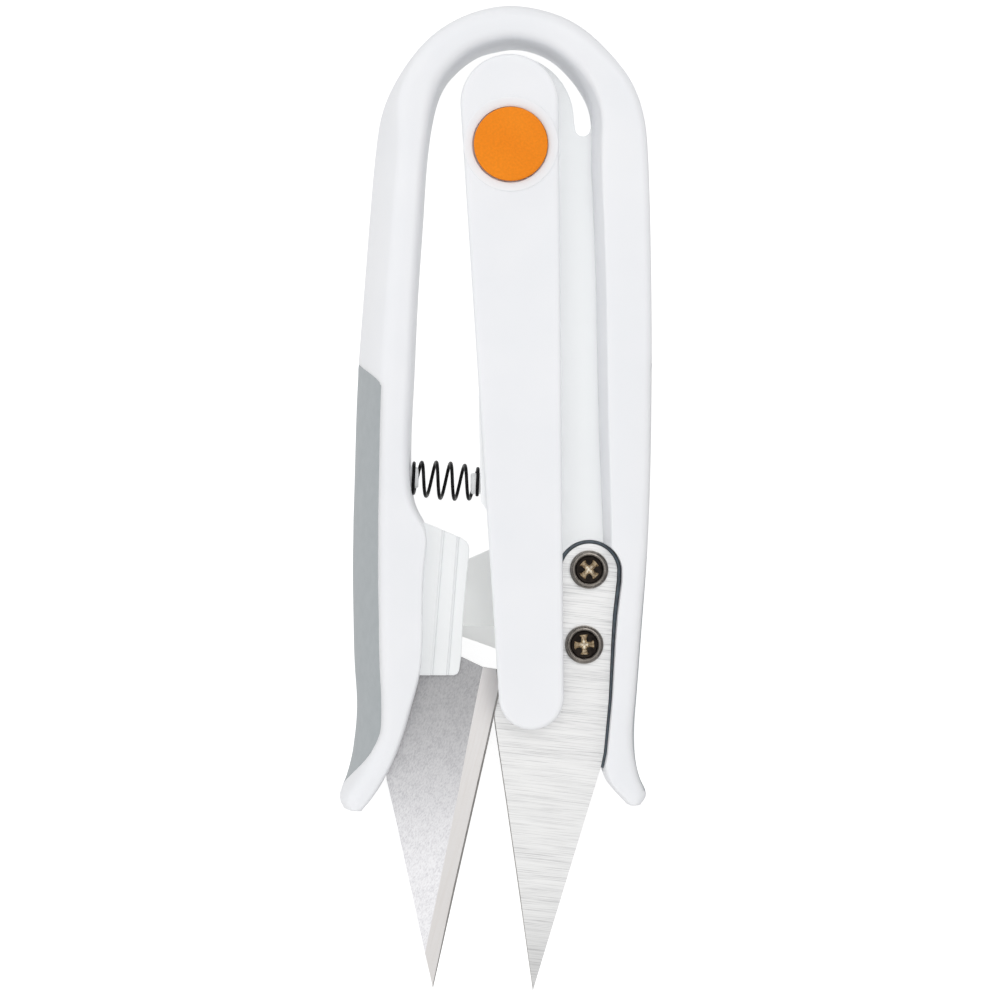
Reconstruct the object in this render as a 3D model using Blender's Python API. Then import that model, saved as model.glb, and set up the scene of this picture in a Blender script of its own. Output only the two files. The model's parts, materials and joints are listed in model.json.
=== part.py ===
"""Spring-open thread snips, lying flat: +X across the handles, +Y towards the bow, +Z up.

Every length below is in millimetres; the objects are built in metres.
"""

import math

import bmesh
import bpy
from mathutils import Matrix, Vector

MM = 0.001

# Heights above the surface that the snips lie on.
HANDLE_H = 11.5
PANEL_Z = (0.55, 5.6)
POCKET_FLOOR_Z = 4.0
FIXED_BLADE_Z = (4.3, 5.7)
MOVING_BLADE_Z = (5.8, 7.2)
MOVING_POCKET_ROOF_Z = 7.5
BAR_Z = (8.9, 11.2)
BOSS_TOP_Z = 8.3
WASHER_Z = (8.4, 8.8)
CAP_Z = (10.75, 11.85)
SEAT_TOP_Z = 8.6
TRAY_Z = (0.3, 0.9)
TRAY_LIP_Z = 2.6

# The flexing bow is split at its crown, where the moving side turns.
HINGE = (1.98, 62.09)
SEAM_GAP = 0.15
SEAM_TAPER = 0.3

# The guide bar: two round ends joined by straight sides, turning on the pivot.
PIVOT = (2.1, 46.4)
BAR_HEAD = (1.94, 51.8, 6.43)
BAR_FOOT = (4.78, -26.0, 4.25)
COLLAR_R = 6.0
COLLAR_H = 0.25
PIN_R = 1.6
PIN_HEAD_R = 2.7
CAP_R = 4.84
BOSS_R = 4.4
WASHER_R = 3.8
CLIP_R = 3.2
PIN_HEAD_Z = (9.9, 10.6)
CLIP_Z = (0.1, 0.45)
RUNNING_GAP = 0.08
REST_GAP = 0.25

# Handle cross-section.
SIDE_SLANT = 3.8
SIDE_BULGE = 0.55
CROWN_BULGE = 0.4
OUTER_EDGE_R = 1.2
INNER_EDGE_R = 0.5
SLANT_BLEND_Y = (44.0, 64.0)
TOE_START_Y = -30.0
TOE_END_Y = -41.0
TOE_SLANT = 0.9
MOVING_FLARE = (
    (-41.0, 0.0), (-36.0, 0.3), (-31.0, 0.3), (-27.0, 0.2), (-23.0, 0.3), (-16.0, 0.38), (-8.0, 0.36),
    (1.5, 0.22), (15.0, 0.1), (30.0, 0.0),
)

# Ribs of the handles, from toe to crown: outer x, outer y, inner x, inner y.
MOVING_RIBS = (
    (-20.3, -40.7, -17.25, -40.85),
    (-20.85, -39.6, -16.45, -39.95),
    (-20.72, -38.4, -15.7, -38.95),
    (-20.15, -37.0, -14.7, -37.3),
    (-19.38, -34.5, -13.4, -34.9),
    (-18.82, -31.0, -11.9, -31.0),
    (-18.6, -27.0, -10.75, -27.0),
    (-18.85, -23.0, -9.8, -23.0),
    (-19.08, -16.0, -9.42, -16.0),
    (-19.16, -8.0, -9.1, -8.0),
    (-19.1, -4.5, -8.98, -4.5),
    (-19.08, -2.9, -9.5, -2.9),
    (-19.03, -1.3, -10.35, -1.3),
    (-18.94, 1.5, -10.95, 1.5),
    (-18.5, 15.0, -10.78, 15.0),
    (-17.64, 27.0, -10.2, 27.3),
    (-16.78, 38.0, -9.48, 38.0),
    (-15.85, 47.8, -8.6, 48.2),
    (-14.5, 53.4, -7.2, 53.8),
    (-11.2, 58.4, -4.95, 56.85),
    (-6.9, 62.2, -2.2, 58.8),
    (-2.0, 64.4, 0.15, 59.5),
    (HINGE[0] - SEAM_GAP, 65.0, HINGE[0] - SEAM_GAP - SEAM_TAPER, 59.8),
)
FIXED_RIBS = (
    (19.5, -40.05, 17.3, -40.1),
    (20.2, -38.7, 15.6, -38.3),
    (19.55, -37.1, 14.5, -36.8),
    (18.8, -34.8, 13.9, -34.4),
    (18.45, -31.0, 13.6, -31.0),
    (18.7, -26.5, 13.6, -26.5),
    (19.5, -16.0, 14.3, -16.0),
    (20.0, -9.4, 14.4, -9.4),
    (20.6, 5.0, 13.9, 5.0),
    (20.74, 21.0, 13.5, 21.0),
    (20.5, 38.0, 13.0, 38.0),
    (20.2, 46.1, 12.75, 46.5),
    (19.7, 50.5, 12.7, 50.6),
    (18.0, 55.2, 11.6, 53.65),
    (14.9, 59.2, 9.85, 56.1),
    (10.8, 62.6, 7.2, 58.45),
    (6.0, 64.5, 3.9, 59.7),
    (HINGE[0] + SEAM_GAP, 65.0, HINGE[0] + SEAM_GAP, 59.8),
)

# Inner-wall draft: how far the front edge stands back from the foot, by height along the handle.
MOVING_DRAFT = ((-41.0, 0.3), (-5.0, 0.3), (1.5, 0.95), (48.0, 0.95), (60.0, 0.7))
FIXED_DRAFT = ((-41.0, 0.4), (-30.0, 0.4), (0.0, 2.7), (32.0, 2.7), (46.0, 1.9), (54.0, 0.8), (60.0, 0.7))

# Web of the fixed side, with the slot beside the bow and the tray that the stop hook runs in.
PANEL_HEAD = (1.72, 49.95, 8.72)
SLOT_END = (11.63, 48.89, 1.0)
PANEL_INSET = 0.5
TRAY_OUTLINE = (
    (-6.8, -9.4), (0.8, -6.1), (4.1, -6.1), (4.1, -20.6), (0.3, -20.0), (-4.3, -18.35), (-6.8, -17.5),
)
TRAY_X = (-6.8, 4.1)
TRAY_Y = (-16.9, -6.1)
LIP_T = 1.0
SEAT_OUTLINE = ((-2.15, 13.67), (-1.85, -0.3), (-0.92, -1.71), (1.5, -1.71), (1.5, 13.67))
RIM_TOP_Z = 1.9
HOOK_X = (-5.5, -4.5)
HOOK_Y = (-15.4, -11.8)
HOOK_Z = (3.0, 4.2)
HOOK_TIP_Z = 1.2

# Grip pads, let into the slanted outer sides.
PAD_T = 0.55
PAD_GAP = 0.1
PAD_Z_MARGIN = 0.75
PAD_TOP_Y = (14.9, 18.0)
PAD_TOE_Y = (-29.0, -38.6)
PAD_TOP_POWER = 1.6
PAD_TOE_POWER = 3.0
PAD_LEAST_Z = 0.5
PAD_STEPS = 30

# Blades. Each cutting edge runs from its heel to its tip, with the grinding line beside it.
TANG_R = 3.7
FIXED_TANG = (12.48, -9.64)
FIXED_BACK = ((16.1, -10.9), (15.6, -15.3), (15.4, -18.6), (15.05, -26.5), (14.4, -33.5), (14.0, -35.5))
FIXED_HEEL = ((8.78, -19.6), (4.9, -21.2))
FIXED_EDGE = ((-0.1, -22.6), (-0.55, -25.1), (0.0, -30.0), (1.45, -39.8), (3.2, -52.0), (5.02, -65.0))
FIXED_GRIND = ((1.9, -22.15), (2.1, -25.4), (2.5, -30.3), (3.9, -40.0), (5.3, -52.3), (6.5, -60.1))
MOVING_TANG = (-11.46, -8.96)
MOVING_BACK = ((-15.1, -10.2), (-14.94, -25.7), (-14.4, -34.6), (-14.25, -37.1), (-13.04, -42.3))
MOVING_HEEL = ((-7.78, -18.6), (-4.5, -20.8))
MOVING_EDGE = ((0.4, -22.5), (0.73, -25.0), (-0.7, -31.4), (-2.57, -39.7), (-5.25, -51.5), (-8.17, -64.6))
MOVING_GRIND = ((-1.58, -22.2), (-2.2, -25.2), (-3.42, -31.4), (-5.0, -39.7), (-7.44, -51.5), (-9.2, -59.9))
EDGE_T = 0.2
FIXED_BLADE = (FIXED_TANG, FIXED_BACK, FIXED_HEEL, FIXED_EDGE, FIXED_GRIND)
MOVING_BLADE = (MOVING_TANG, MOVING_BACK, MOVING_HEEL, MOVING_EDGE, MOVING_GRIND)
POCKET_GAP = 0.6
LINER_GAP = 0.08
LINER_W = 0.4

# Screws: shank, head and cross recess.
SHANK_R = 1.1
HEAD_R = 2.55
HEAD_H = 1.25
DISH_R = 1.85
DISH_DEPTH = 0.3
CROSS = (2.4, 0.6, 0.75)
SHANK_LENGTH = 4.3
SCREW_GAP = 0.05
FIXED_SCREWS = {"upper": (12.45, -9.35, 45.0), "lower": (11.8, -19.25, 0.0)}
MOVING_SCREWS = {"upper": (-11.46, -8.7, 30.0), "lower": (-11.35, -18.7, 60.0)}

# Return spring.
SPRING_ENDS = ((-10.85, 2.78, 5.4), (-2.3, 2.0, 5.4))
SPRING_R = (1.9, 2.38)
WIRE_R = 0.21
SPRING_TURNS = (-0.3, 5.4)
CLOSED_TURNS = 0.95
COIL_PITCH = 1.15
PEG_R = 1.4
PEG_OUT = (0.9, 1.0)

# The step block beside the moving blade: step lines from the handle outwards, each lower than the last.
BLOCK_STEPS = (
    (8.6, (-9.6, -3.0), (-10.0, -22.4)),
    (8.2, (-6.95, -4.6), (-8.4, -22.5)),
    (7.85, (-5.0, -5.6), (-6.3, -22.5)),
)
BLOCK_OUTLINE = (
    (-12.5, -2.3), (-10.3, -2.2), (-9.6, -2.75), (-8.85, -3.25), (-7.9, -3.65),
    (-4.3, -5.2), (-3.6, -5.8), (-3.35, -6.7), (-4.15, -15.2), (-4.4, -20.5), (-4.7, -22.6),
    (-5.4, -23.25), (-12.5, -23.2),
)

ROUND_SEGMENTS = 28
HOLE_SEGMENTS = 16
FAR = 20.0
MATERIALS = {}


# ---------------------------------------------------------------- curves and outlines

def between(table, at):
    """Value at a place in a table of (place, value) rows, in straight lines."""
    for (a, va), (b, vb) in zip(table, table[1:]):
        if at <= b:
            share = min(max((at - a) / (b - a), 0.0), 1.0)
            return va + (vb - va) * share
    return table[-1][1]


def smooth(low, high, at):
    share = min(max((at - low) / (high - low), 0.0), 1.0)
    return share * share * (3.0 - 2.0 * share)


def curve_at(rows, t):
    """Point on the Catmull-Rom curve through the rows, at row number t."""
    i = min(int(t), len(rows) - 2)
    f = t - i
    before, a, b, after = (rows[min(max(k, 0), len(rows) - 1)] for k in (i - 1, i, i + 1, i + 2))
    return tuple(
        0.5 * (2 * q + (r - p) * f + (2 * p - 5 * q + 4 * r - s) * f * f + (3 * q - p - 3 * r + s) * f**3)
        for p, q, r, s in zip(before, a, b, after)
    )


def arc(cx, cy, r, start, end, steps):
    angles = (math.radians(start + (end - start) * k / steps) for k in range(steps + 1))
    return [(cx + r * math.cos(a), cy + r * math.sin(a)) for a in angles]


def circle(cx, cy, r, segments=ROUND_SEGMENTS):
    return arc(cx, cy, r, 0.0, 360.0, segments)[:-1]


def offset(outline, distance):
    """The closed outline moved outwards by a distance (inwards if negative)."""
    area = sum(a[0] * b[1] - b[0] * a[1] for a, b in zip(outline, outline[1:] + outline[:1]))
    side = math.copysign(distance, area)
    moved = []
    for before, at, after in zip(outline[-1:] + outline[:-1], outline, outline[1:] + outline[:1]):
        d1 = Vector((at[0] - before[0], at[1] - before[1])).normalized()
        d2 = Vector((after[0] - at[0], after[1] - at[1])).normalized()
        normal = Vector((d1.y + d2.y, -d1.x - d2.x)).normalized()
        reach = side / max(normal.dot(Vector((d1.y, -d1.x))), 0.6)
        moved.append((at[0] + normal.x * reach, at[1] + normal.y * reach))
    return moved


def two_circle_hull(head, foot, grow=0.0, steps=12):
    """Outline of a bar with round ends: the upper circle, then the lower one."""
    (hx, hy, hr), (fx, fy, fr) = head, foot
    length = math.hypot(fx - hx, fy - hy)
    heading = math.degrees(math.atan2(fy - hy, fx - hx))
    lean = math.degrees(math.acos((hr - fr) / length))
    top = arc(hx, hy, hr + grow, heading + lean, heading + 360.0 - lean, steps)
    return top + arc(fx, fy, fr + grow, heading - lean, heading + lean, steps)


# ---------------------------------------------------------------- meshes and objects

def new_object(name, mesh_data, material=None):
    mesh = bpy.data.meshes.new(name)
    bmesh.ops.recalc_face_normals(mesh_data, faces=mesh_data.faces)
    bmesh.ops.scale(mesh_data, vec=(MM, MM, MM), verts=mesh_data.verts)
    mesh_data.to_mesh(mesh)
    mesh_data.free()
    obj = bpy.data.objects.new(name, mesh)
    bpy.context.scene.collection.objects.link(obj)
    if material:
        mesh.materials.append(MATERIALS[material])
    mesh.shade_smooth()
    mesh.set_sharp_from_angle(angle=math.radians(30.0))
    return obj


def lofted(name, rings, material=None, closed=False):
    """A tube through rings of equal point counts, with flat ends unless it closes on itself."""
    data = bmesh.new()
    loops = [[data.verts.new(point) for point in ring] for ring in rings]
    pairs = list(zip(loops, loops[1:])) + ([(loops[-1], loops[0])] if closed else [])
    for low, high in pairs:
        for k in range(len(low)):
            n = (k + 1) % len(low)
            data.faces.new((low[k], low[n], high[n], high[k]))
    if not closed:
        data.faces.new(loops[0][::-1])
        data.faces.new(loops[-1])
    return new_object(name, data, material)


def plate(name, outline, low, high, material=None, low_edge=0.0, high_edge=0.0):
    """An outline extruded from low to high, with the edges chamfered if asked."""
    levels = [(low, low_edge)] if low_edge else []
    levels += [(low + low_edge, 0.0), (high - high_edge, 0.0)]
    levels += [(high, high_edge)] if high_edge else []
    rings = [[(x, y, z) for x, y in offset(outline, -inset)] for z, inset in levels]
    return lofted(name, rings, material)


def turned(name, profile, centre, material=None, segments=ROUND_SEGMENTS):
    """A solid of revolution about Z from (radius, height) points that start and end on the axis."""
    data = bmesh.new()
    cx, cy = centre
    rows = []
    for r, z in profile:
        ring = [(cx, cy)] if r == 0 else circle(cx, cy, r, segments)
        rows.append([data.verts.new((x, y, z)) for x, y in ring])
    for low, high in zip(rows, rows[1:]):
        for k in range(segments):
            n = (k + 1) % segments
            corners = [low[k % len(low)], low[n % len(low)], high[n % len(high)], high[k % len(high)]]
            data.faces.new(list(dict.fromkeys(corners)))
    return new_object(name, data, material)


def washer(name, centre, inner, outer, low, high, material):
    rings = [(inner, low), (outer, low), (outer, high), (inner, high)]
    cx, cy = centre
    loops = [[(x, y, z) for x, y in circle(cx, cy, r)] for r, z in rings]
    return lofted(name, loops, material, closed=True)


def rod(name, start, end, r, segments=16):
    """A round rod between two points."""
    start, end = Vector(start), Vector(end)
    turn = (end - start).to_track_quat("Z", "Y").to_matrix()
    rings = []
    for centre in (start, end):
        rings.append([centre + turn @ Vector((x, y, 0.0)) for x, y in circle(0.0, 0.0, r, segments)])
    return lofted(name, rings)


def box(name, low, high):
    outline = [(low[0], low[1]), (high[0], low[1]), (high[0], high[1]), (low[0], high[1])]
    return plate(name, outline, low[2], high[2])


def combine(target, others, operation):
    """Joins or cuts the target with each helper in turn, and drops the helpers."""
    for other in others:
        modifier = target.modifiers.new(other.name, "BOOLEAN")
        modifier.operation = operation
        modifier.solver = "EXACT"
        modifier.object = other
        graph = bpy.context.evaluated_depsgraph_get()
        result = bpy.data.meshes.new_from_object(target.evaluated_get(graph))
        target.modifiers.clear()
        target.data = result
        bpy.data.objects.remove(other)
    target.data.set_sharp_from_angle(angle=math.radians(30.0))
    return target


def material(slot, colour, roughness, metallic=0.0):
    made = bpy.data.materials.new(slot)
    made.use_nodes = True
    shader = made.node_tree.nodes["Principled BSDF"]
    shader.inputs["Base Color"].default_value = (*colour, 1.0)
    shader.inputs["Roughness"].default_value = roughness
    shader.inputs["Metallic"].default_value = metallic
    MATERIALS[slot] = made


def make_materials():
    material("white_plastic", (0.86, 0.88, 0.90), 0.45)
    material("grip_grey", (0.40, 0.43, 0.45), 0.75)
    material("orange_plastic", (0.92, 0.26, 0.015), 0.4)
    material("blade_steel", (0.62, 0.63, 0.64), 0.32, 1.0)
    material("screw_steel", (0.17, 0.16, 0.15), 0.35, 1.0)
    material("spring_steel", (0.02, 0.02, 0.022), 0.4, 1.0)
    material("pin_steel", (0.55, 0.55, 0.56), 0.35, 1.0)
    material("dark_liner", (0.07, 0.08, 0.10), 0.6)


# ---------------------------------------------------------------- handles

def side_u(slant, z):
    """Depth of the bare outer side behind the outermost point, at a height."""
    share = z / HANDLE_H
    belly = 4.0 * share * (1.0 - share)
    square = max(1.0 - abs(slant) / SIDE_SLANT, 0.0)
    low, high = max(0.0, -slant), max(0.0, slant)
    rounded = (SIDE_BULGE + CROWN_BULGE * square) * (1.0 - belly) * square
    return low + (high - low) * share + rounded - SIDE_BULGE * belly * (1.0 - square)


def slant_at(y, sign):
    """Slant of the outer side: full along the handle, none at the crown, little at the toe."""
    bow = 1.0 - smooth(SLANT_BLEND_Y[0], SLANT_BLEND_Y[1], y)
    toe = smooth(TOE_END_Y, TOE_START_Y, y)
    flare = between(MOVING_FLARE, y) if sign > 0 else 0.0
    return sign * bow * (TOE_SLANT + (SIDE_SLANT - TOE_SLANT) * toe) + flare


def rib(rows, t):
    """Outer point, unit vector towards the inside, and width of the handle at row number t."""
    ox, oy, ix, iy = curve_at(rows, t)
    across = Vector((ix - ox, iy - oy))
    return Vector((ox, oy)), across.normalized(), across.length


def handle_ring(rows, t, sign, draft):
    """One rounded section of the handle: up the outer side, over the front and down the inner wall."""
    outer, inwards, width = rib(rows, t)
    slant = slant_at(outer.y, sign)
    front = width - between(draft, outer.y)
    edge = [(math.sin(a), math.cos(a)) for a in (0.0, math.pi / 4.0, math.pi / 2.0)]
    low = [(1.0 - s, OUTER_EDGE_R * (1.0 - c)) for s, c in edge]
    high = [(inset, HANDLE_H - z) for inset, z in reversed(low)]
    waist = [(0.0, share * HANDLE_H) for share in (0.36, 0.64)]
    points = [(side_u(slant, z) + OUTER_EDGE_R * inset, z) for inset, z in low + waist + high]
    points += [(front - INNER_EDGE_R * (1.0 - s), HANDLE_H - INNER_EDGE_R * (1.0 - c)) for s, c in edge]
    points += [(width, INNER_EDGE_R), (width - INNER_EDGE_R, 0.0)]
    return [(*(outer + inwards * u), z) for u, z in points]


def handle(name, rows, sign, draft, per_row=2):
    steps = (len(rows) - 1) * per_row
    rings = [handle_ring(rows, k / per_row, sign, draft) for k in range(steps + 1)]
    return lofted(name, rings, "white_plastic")


def row_of_y(rows, y):
    """Row number, counted from the toe, where the outer side reaches y."""
    low, high = 2.0, len(rows) - 5.0
    for _ in range(40):
        middle = (low + high) / 2.0
        if curve_at(rows, middle)[1] < y:
            low = middle
        else:
            high = middle
    return low


def pad_share(y):
    """Share of the side's height that the pad covers: rounded off at the top, a long taper at the toe."""
    top = min(max((PAD_TOP_Y[1] - y) / (PAD_TOP_Y[1] - PAD_TOP_Y[0]), 0.0), 1.0)
    down = min(max((PAD_TOE_Y[0] - y) / (PAD_TOE_Y[0] - PAD_TOE_Y[1]), 0.0), 1.0)
    return (1.0 - (1.0 - top) ** PAD_TOP_POWER) * (1.0 - down**PAD_TOE_POWER)


def grip_pad(name, rows, sign, grow=0.0, material=None):
    """The skin let into the outer side. A grown copy cuts its recess."""
    first = row_of_y(rows, PAD_TOE_Y[1] + 0.35)
    last = row_of_y(rows, PAD_TOP_Y[1] - 0.15)
    places = [first + (last - first) * k / PAD_STEPS for k in range(PAD_STEPS + 1)]
    if grow:
        places = [first - grow / 2.0] + places + [last + grow / 10.0]
    rings = []
    for place in places:
        outer, inwards, _ = rib(rows, place)
        slant = slant_at(outer.y, sign)
        share = pad_share(rib(rows, min(max(place, first), last))[0].y)
        reach = max(share * (HANDLE_H - 2.0 * PAD_Z_MARGIN), PAD_LEAST_Z)
        low = PAD_Z_MARGIN if sign > 0 else HANDLE_H - PAD_Z_MARGIN - reach
        levels = [low - grow + (reach + 2.0 * grow) * n / 4 for n in range(5)]
        skin = [(edge_u(slant, z) - 6.0 * grow, z) for z in levels]
        back = [(side_u(slant, z) + PAD_T + grow, z) for z in reversed(levels)]
        rings.append([(*(outer + inwards * u), z) for u, z in skin + back])
    return lofted(name, rings, material)


def edge_u(slant, z):
    """Outer side with its rounded edges, at a height."""
    lift = min(max(z, 0.0), max(HANDLE_H - z, 0.0), OUTER_EDGE_R)
    round_off = OUTER_EDGE_R - math.sqrt(OUTER_EDGE_R**2 - (OUTER_EDGE_R - lift) ** 2)
    return side_u(slant, z) + round_off


# ---------------------------------------------------------------- blades

def blade_outline(tang, back, heel, edge, grind, side):
    """Closed outline of a blade: round tang, heel, cutting edge to the tip, grinding exit and back."""
    sweep = (0.0, 180.0) if side > 0 else (180.0, 0.0)
    top = arc(tang[0], tang[1], TANG_R, sweep[0], sweep[1], 14)[1:]
    return top + list(heel) + [grind[0]] + list(edge) + [grind[-1]] + list(reversed(back))


def blade(name, shape, plain, ground, side):
    """A flat blade; its cutting edge is ground from the face at one of its two heights."""
    outline = blade_outline(*shape, side)
    edge, grind = shape[3], shape[4]
    thin = plain + math.copysign(EDGE_T, ground - plain)
    data = bmesh.new()
    face = {point: data.verts.new((*point, plain)) for point in outline}
    relief = {}
    for point in outline + list(grind[1:-1]):
        relief[point] = data.verts.new((*point, thin if point in edge else ground))
    first, last = outline.index(grind[0]), outline.index(grind[-1])
    data.faces.new([face[p] for p in outline])
    data.faces.new([relief[p] for p in outline[last:] + outline[: first + 1] + list(grind[1:-1])])
    for k in range(len(grind) - 1):
        corners = (grind[k], edge[k], edge[k + 1], grind[k + 1])
        data.faces.new([relief[p] for p in corners])
    for a, b in zip(outline, outline[1:] + outline[:1]):
        data.faces.new([face[a], face[b], relief[b], relief[a]])
    return new_object(name, data, "blade_steel")


def liner(name, tang, back, heel, low, high):
    """The thin dark strip between a blade and the wall of its pocket, from the heel round to the toe."""
    side = 1.0 if tang[0] > 0 else -1.0
    sweep = (180.0, 12.0) if side > 0 else (0.0, 168.0)
    path = [(tang[0] - side * TANG_R, heel[0][1] + 3.0)]
    path += arc(tang[0], tang[1], TANG_R, sweep[0], sweep[1], 14) + list(back)
    inner, outer = [], []
    for before, at, after in zip([path[0]] + path, path, path[1:] + [path[-1]]):
        along = Vector((after[0] - before[0], after[1] - before[1])).normalized()
        normal = Vector((-along.y, along.x)) * side
        inner.append(Vector(at) + normal * LINER_GAP)
        outer.append(Vector(at) + normal * (LINER_GAP + LINER_W))
    rings = []
    for a, b in zip(inner, outer):
        rings.append([(a.x, a.y, low), (b.x, b.y, low), (b.x, b.y, high), (a.x, a.y, high)])
    return lofted(name, rings, "dark_liner")


def screw(name, place, base, up):
    """Pan-head screw with a dished top and a cross recess, its head resting on base; up is +1 or -1."""
    x, y, turn = place
    shape = [
        (0.0, -SHANK_LENGTH), (SHANK_R * 0.6, -SHANK_LENGTH), (SHANK_R, SHANK_R * 0.5 - SHANK_LENGTH),
        (SHANK_R, 0.0), (HEAD_R, 0.0), (HEAD_R, HEAD_H * 0.6), (HEAD_R * 0.9, HEAD_H * 0.92),
        (HEAD_R * 0.8, HEAD_H), (DISH_R, HEAD_H), (DISH_R * 0.9, HEAD_H - DISH_DEPTH),
        (0.0, HEAD_H - DISH_DEPTH),
    ]
    made = turned(name, [(r, base + up * rise) for r, rise in shape], (x, y), "screw_steel", 24)
    length, width, depth = CROSS
    low, high = sorted((base + up * (HEAD_H - depth), base + up * (HEAD_H + 1.0)))
    arms = []
    for quarter in (0.0, 90.0):
        arm = box("cross", (-length / 2, -width / 2, low), (length / 2, width / 2, high))
        arm.matrix_world = Matrix.Translation((x * MM, y * MM, 0.0)) @ Matrix.Rotation(
            math.radians(turn + quarter), 4, "Z"
        )
        arms.append(arm)
    bpy.context.view_layer.update()
    return combine(made, arms, "DIFFERENCE")


# ---------------------------------------------------------------- the two sides

def panel_outline():
    """The flat web of the fixed side, hidden along its left under the guide bar."""
    hx, hy, hr = BAR_HEAD
    slope = (hx - hr - (BAR_FOOT[0] - BAR_FOOT[2])) / (hy - BAR_FOOT[1])

    def left(y):
        return hx - hr + PANEL_INSET - (hy - y) * slope

    slot = arc(*SLOT_END, 0.0, -180.0, 8)
    head = arc(*PANEL_HEAD, 0.0, 74.0, 8)
    hidden = arc(hx, hy, hr - 0.9, 92.0, 180.0, 6)
    side = [(left(y), y) for y in (44.0, 12.0, -2.0, -19.9)]
    foot = [(6.0, -28.6), (13.0, -34.6), (14.9, -33.0)]
    rim = [(15.0, -20.0), (15.2, 0.0), (14.6, 40.0), (14.6, SLOT_END[1] + 0.3)]
    return slot + head + hidden + side + foot + rim


def cylinder(r, low, high):
    return [(0.0, low), (r, low), (r, high), (0.0, high)]


def pocket(shape, side, low, high):
    return plate("pocket", offset(blade_outline(*shape, side), POCKET_GAP), low, high)


def screw_holes(screws, gap, low, high):
    profile = cylinder(SHANK_R + gap, low, high)
    return [turned("hole", profile, (x, y), segments=HOLE_SEGMENTS) for x, y, _ in screws.values()]


def spring_peg(end, start_x, end_x):
    """A round peg along X, from start_x to end_x beside the end of the spring that it holds."""
    x, y, z = end
    return rod("peg", (x + start_x, y, z), (x + end_x, y, z), PEG_R)


def make_fixed_arm():
    arm = handle("fixed_arm", FIXED_RIBS, -1.0, FIXED_DRAFT)
    panel = plate("panel", panel_outline(), *PANEL_Z, high_edge=0.15)
    boss = turned("boss", cylinder(BOSS_R, PANEL_Z[0] + 1.0, BOSS_TOP_Z), PIVOT)
    seat = plate("seat", list(SEAT_OUTLINE), 1.0, SEAT_TOP_Z, high_edge=0.3)
    tray = plate("tray", list(TRAY_OUTLINE), *TRAY_Z)
    wall = plate("wall", list(TRAY_OUTLINE), TRAY_Z[0] + 0.1, TRAY_LIP_Z)
    above_rim = box("above_rim", (-FAR, -FAR - 10.0, RIM_TOP_Z), (FAR, TRAY_Y[0], FAR))
    inside = box("inside", (TRAY_X[0] + LIP_T, TRAY_Y[0], TRAY_Z[1]), (FAR, 0.0, FAR))
    combine(wall, [above_rim, inside], "DIFFERENCE")
    peg = spring_peg(SPRING_ENDS[1], 2.0, -PEG_OUT[1])
    window = box("window", (-5.0, TRAY_Y[0], TRAY_Z[1]), (TRAY_X[1], TRAY_Y[1], FAR))
    combine(panel, [window], "DIFFERENCE")
    combine(arm, [panel, boss, seat, tray, wall, peg], "UNION")
    cuts = [pocket(FIXED_BLADE, 1, POCKET_FLOOR_Z, FAR)]
    cuts.append(turned("bore", cylinder(PIN_R + RUNNING_GAP, -1.0, FAR), PIVOT))
    low = FIXED_BLADE_Z[1] - SHANK_LENGTH - REST_GAP
    cuts += screw_holes(FIXED_SCREWS, RUNNING_GAP, low, FAR)
    cuts.append(grip_pad("pad_recess", FIXED_RIBS, -1.0, PAD_GAP))
    return combine(arm, cuts, "DIFFERENCE")


def step_block():
    """The ribbed block over the moving blade: each step ends at its line and is lower than the last."""
    block = plate("block", list(BLOCK_OUTLINE), MOVING_POCKET_ROOF_Z - 0.05, HANDLE_H - 0.1)
    for height, (ax, ay), (bx, by) in BLOCK_STEPS:
        along = Vector((bx - ax, by - ay)).normalized() * FAR
        upper, lower = (ax - along.x, ay - along.y), (bx + along.x, by + along.y)
        outline = [upper, lower, (lower[0] + FAR, lower[1]), (upper[0] + FAR, upper[1])]
        combine(block, [plate("step", outline, height, FAR)], "DIFFERENCE")
    return block


def make_moving_arm():
    arm = handle("moving_arm", MOVING_RIBS, 1.0, MOVING_DRAFT)
    combine(arm, [step_block(), spring_peg(SPRING_ENDS[0], -1.5, PEG_OUT[0])], "UNION")
    cuts = [pocket(MOVING_BLADE, -1, -FAR, MOVING_POCKET_ROOF_Z)]
    high = MOVING_BLADE_Z[0] + SHANK_LENGTH + REST_GAP
    cuts += screw_holes(MOVING_SCREWS, RUNNING_GAP, -1.0, high)
    cuts.append(grip_pad("pad_recess", MOVING_RIBS, 1.0, PAD_GAP))
    combine(arm, cuts, "DIFFERENCE")
    finger = box("finger", (-16.4, HOOK_Y[0], HOOK_Z[0]), (HOOK_X[1], HOOK_Y[1], HOOK_Z[1]))
    tip = box("tip", (HOOK_X[0], HOOK_Y[0], HOOK_TIP_Z), (HOOK_X[1], HOOK_Y[1], HOOK_Z[1]))
    return combine(arm, [combine(finger, [tip], "UNION")], "UNION")


def make_blade(name, shape, plain, ground, side, screws):
    made = blade(name, shape, plain, ground, side)
    return combine(made, screw_holes(screws, REST_GAP - 0.1, 0.0, FAR), "DIFFERENCE")


# ---------------------------------------------------------------- guide bar and pivot

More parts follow.
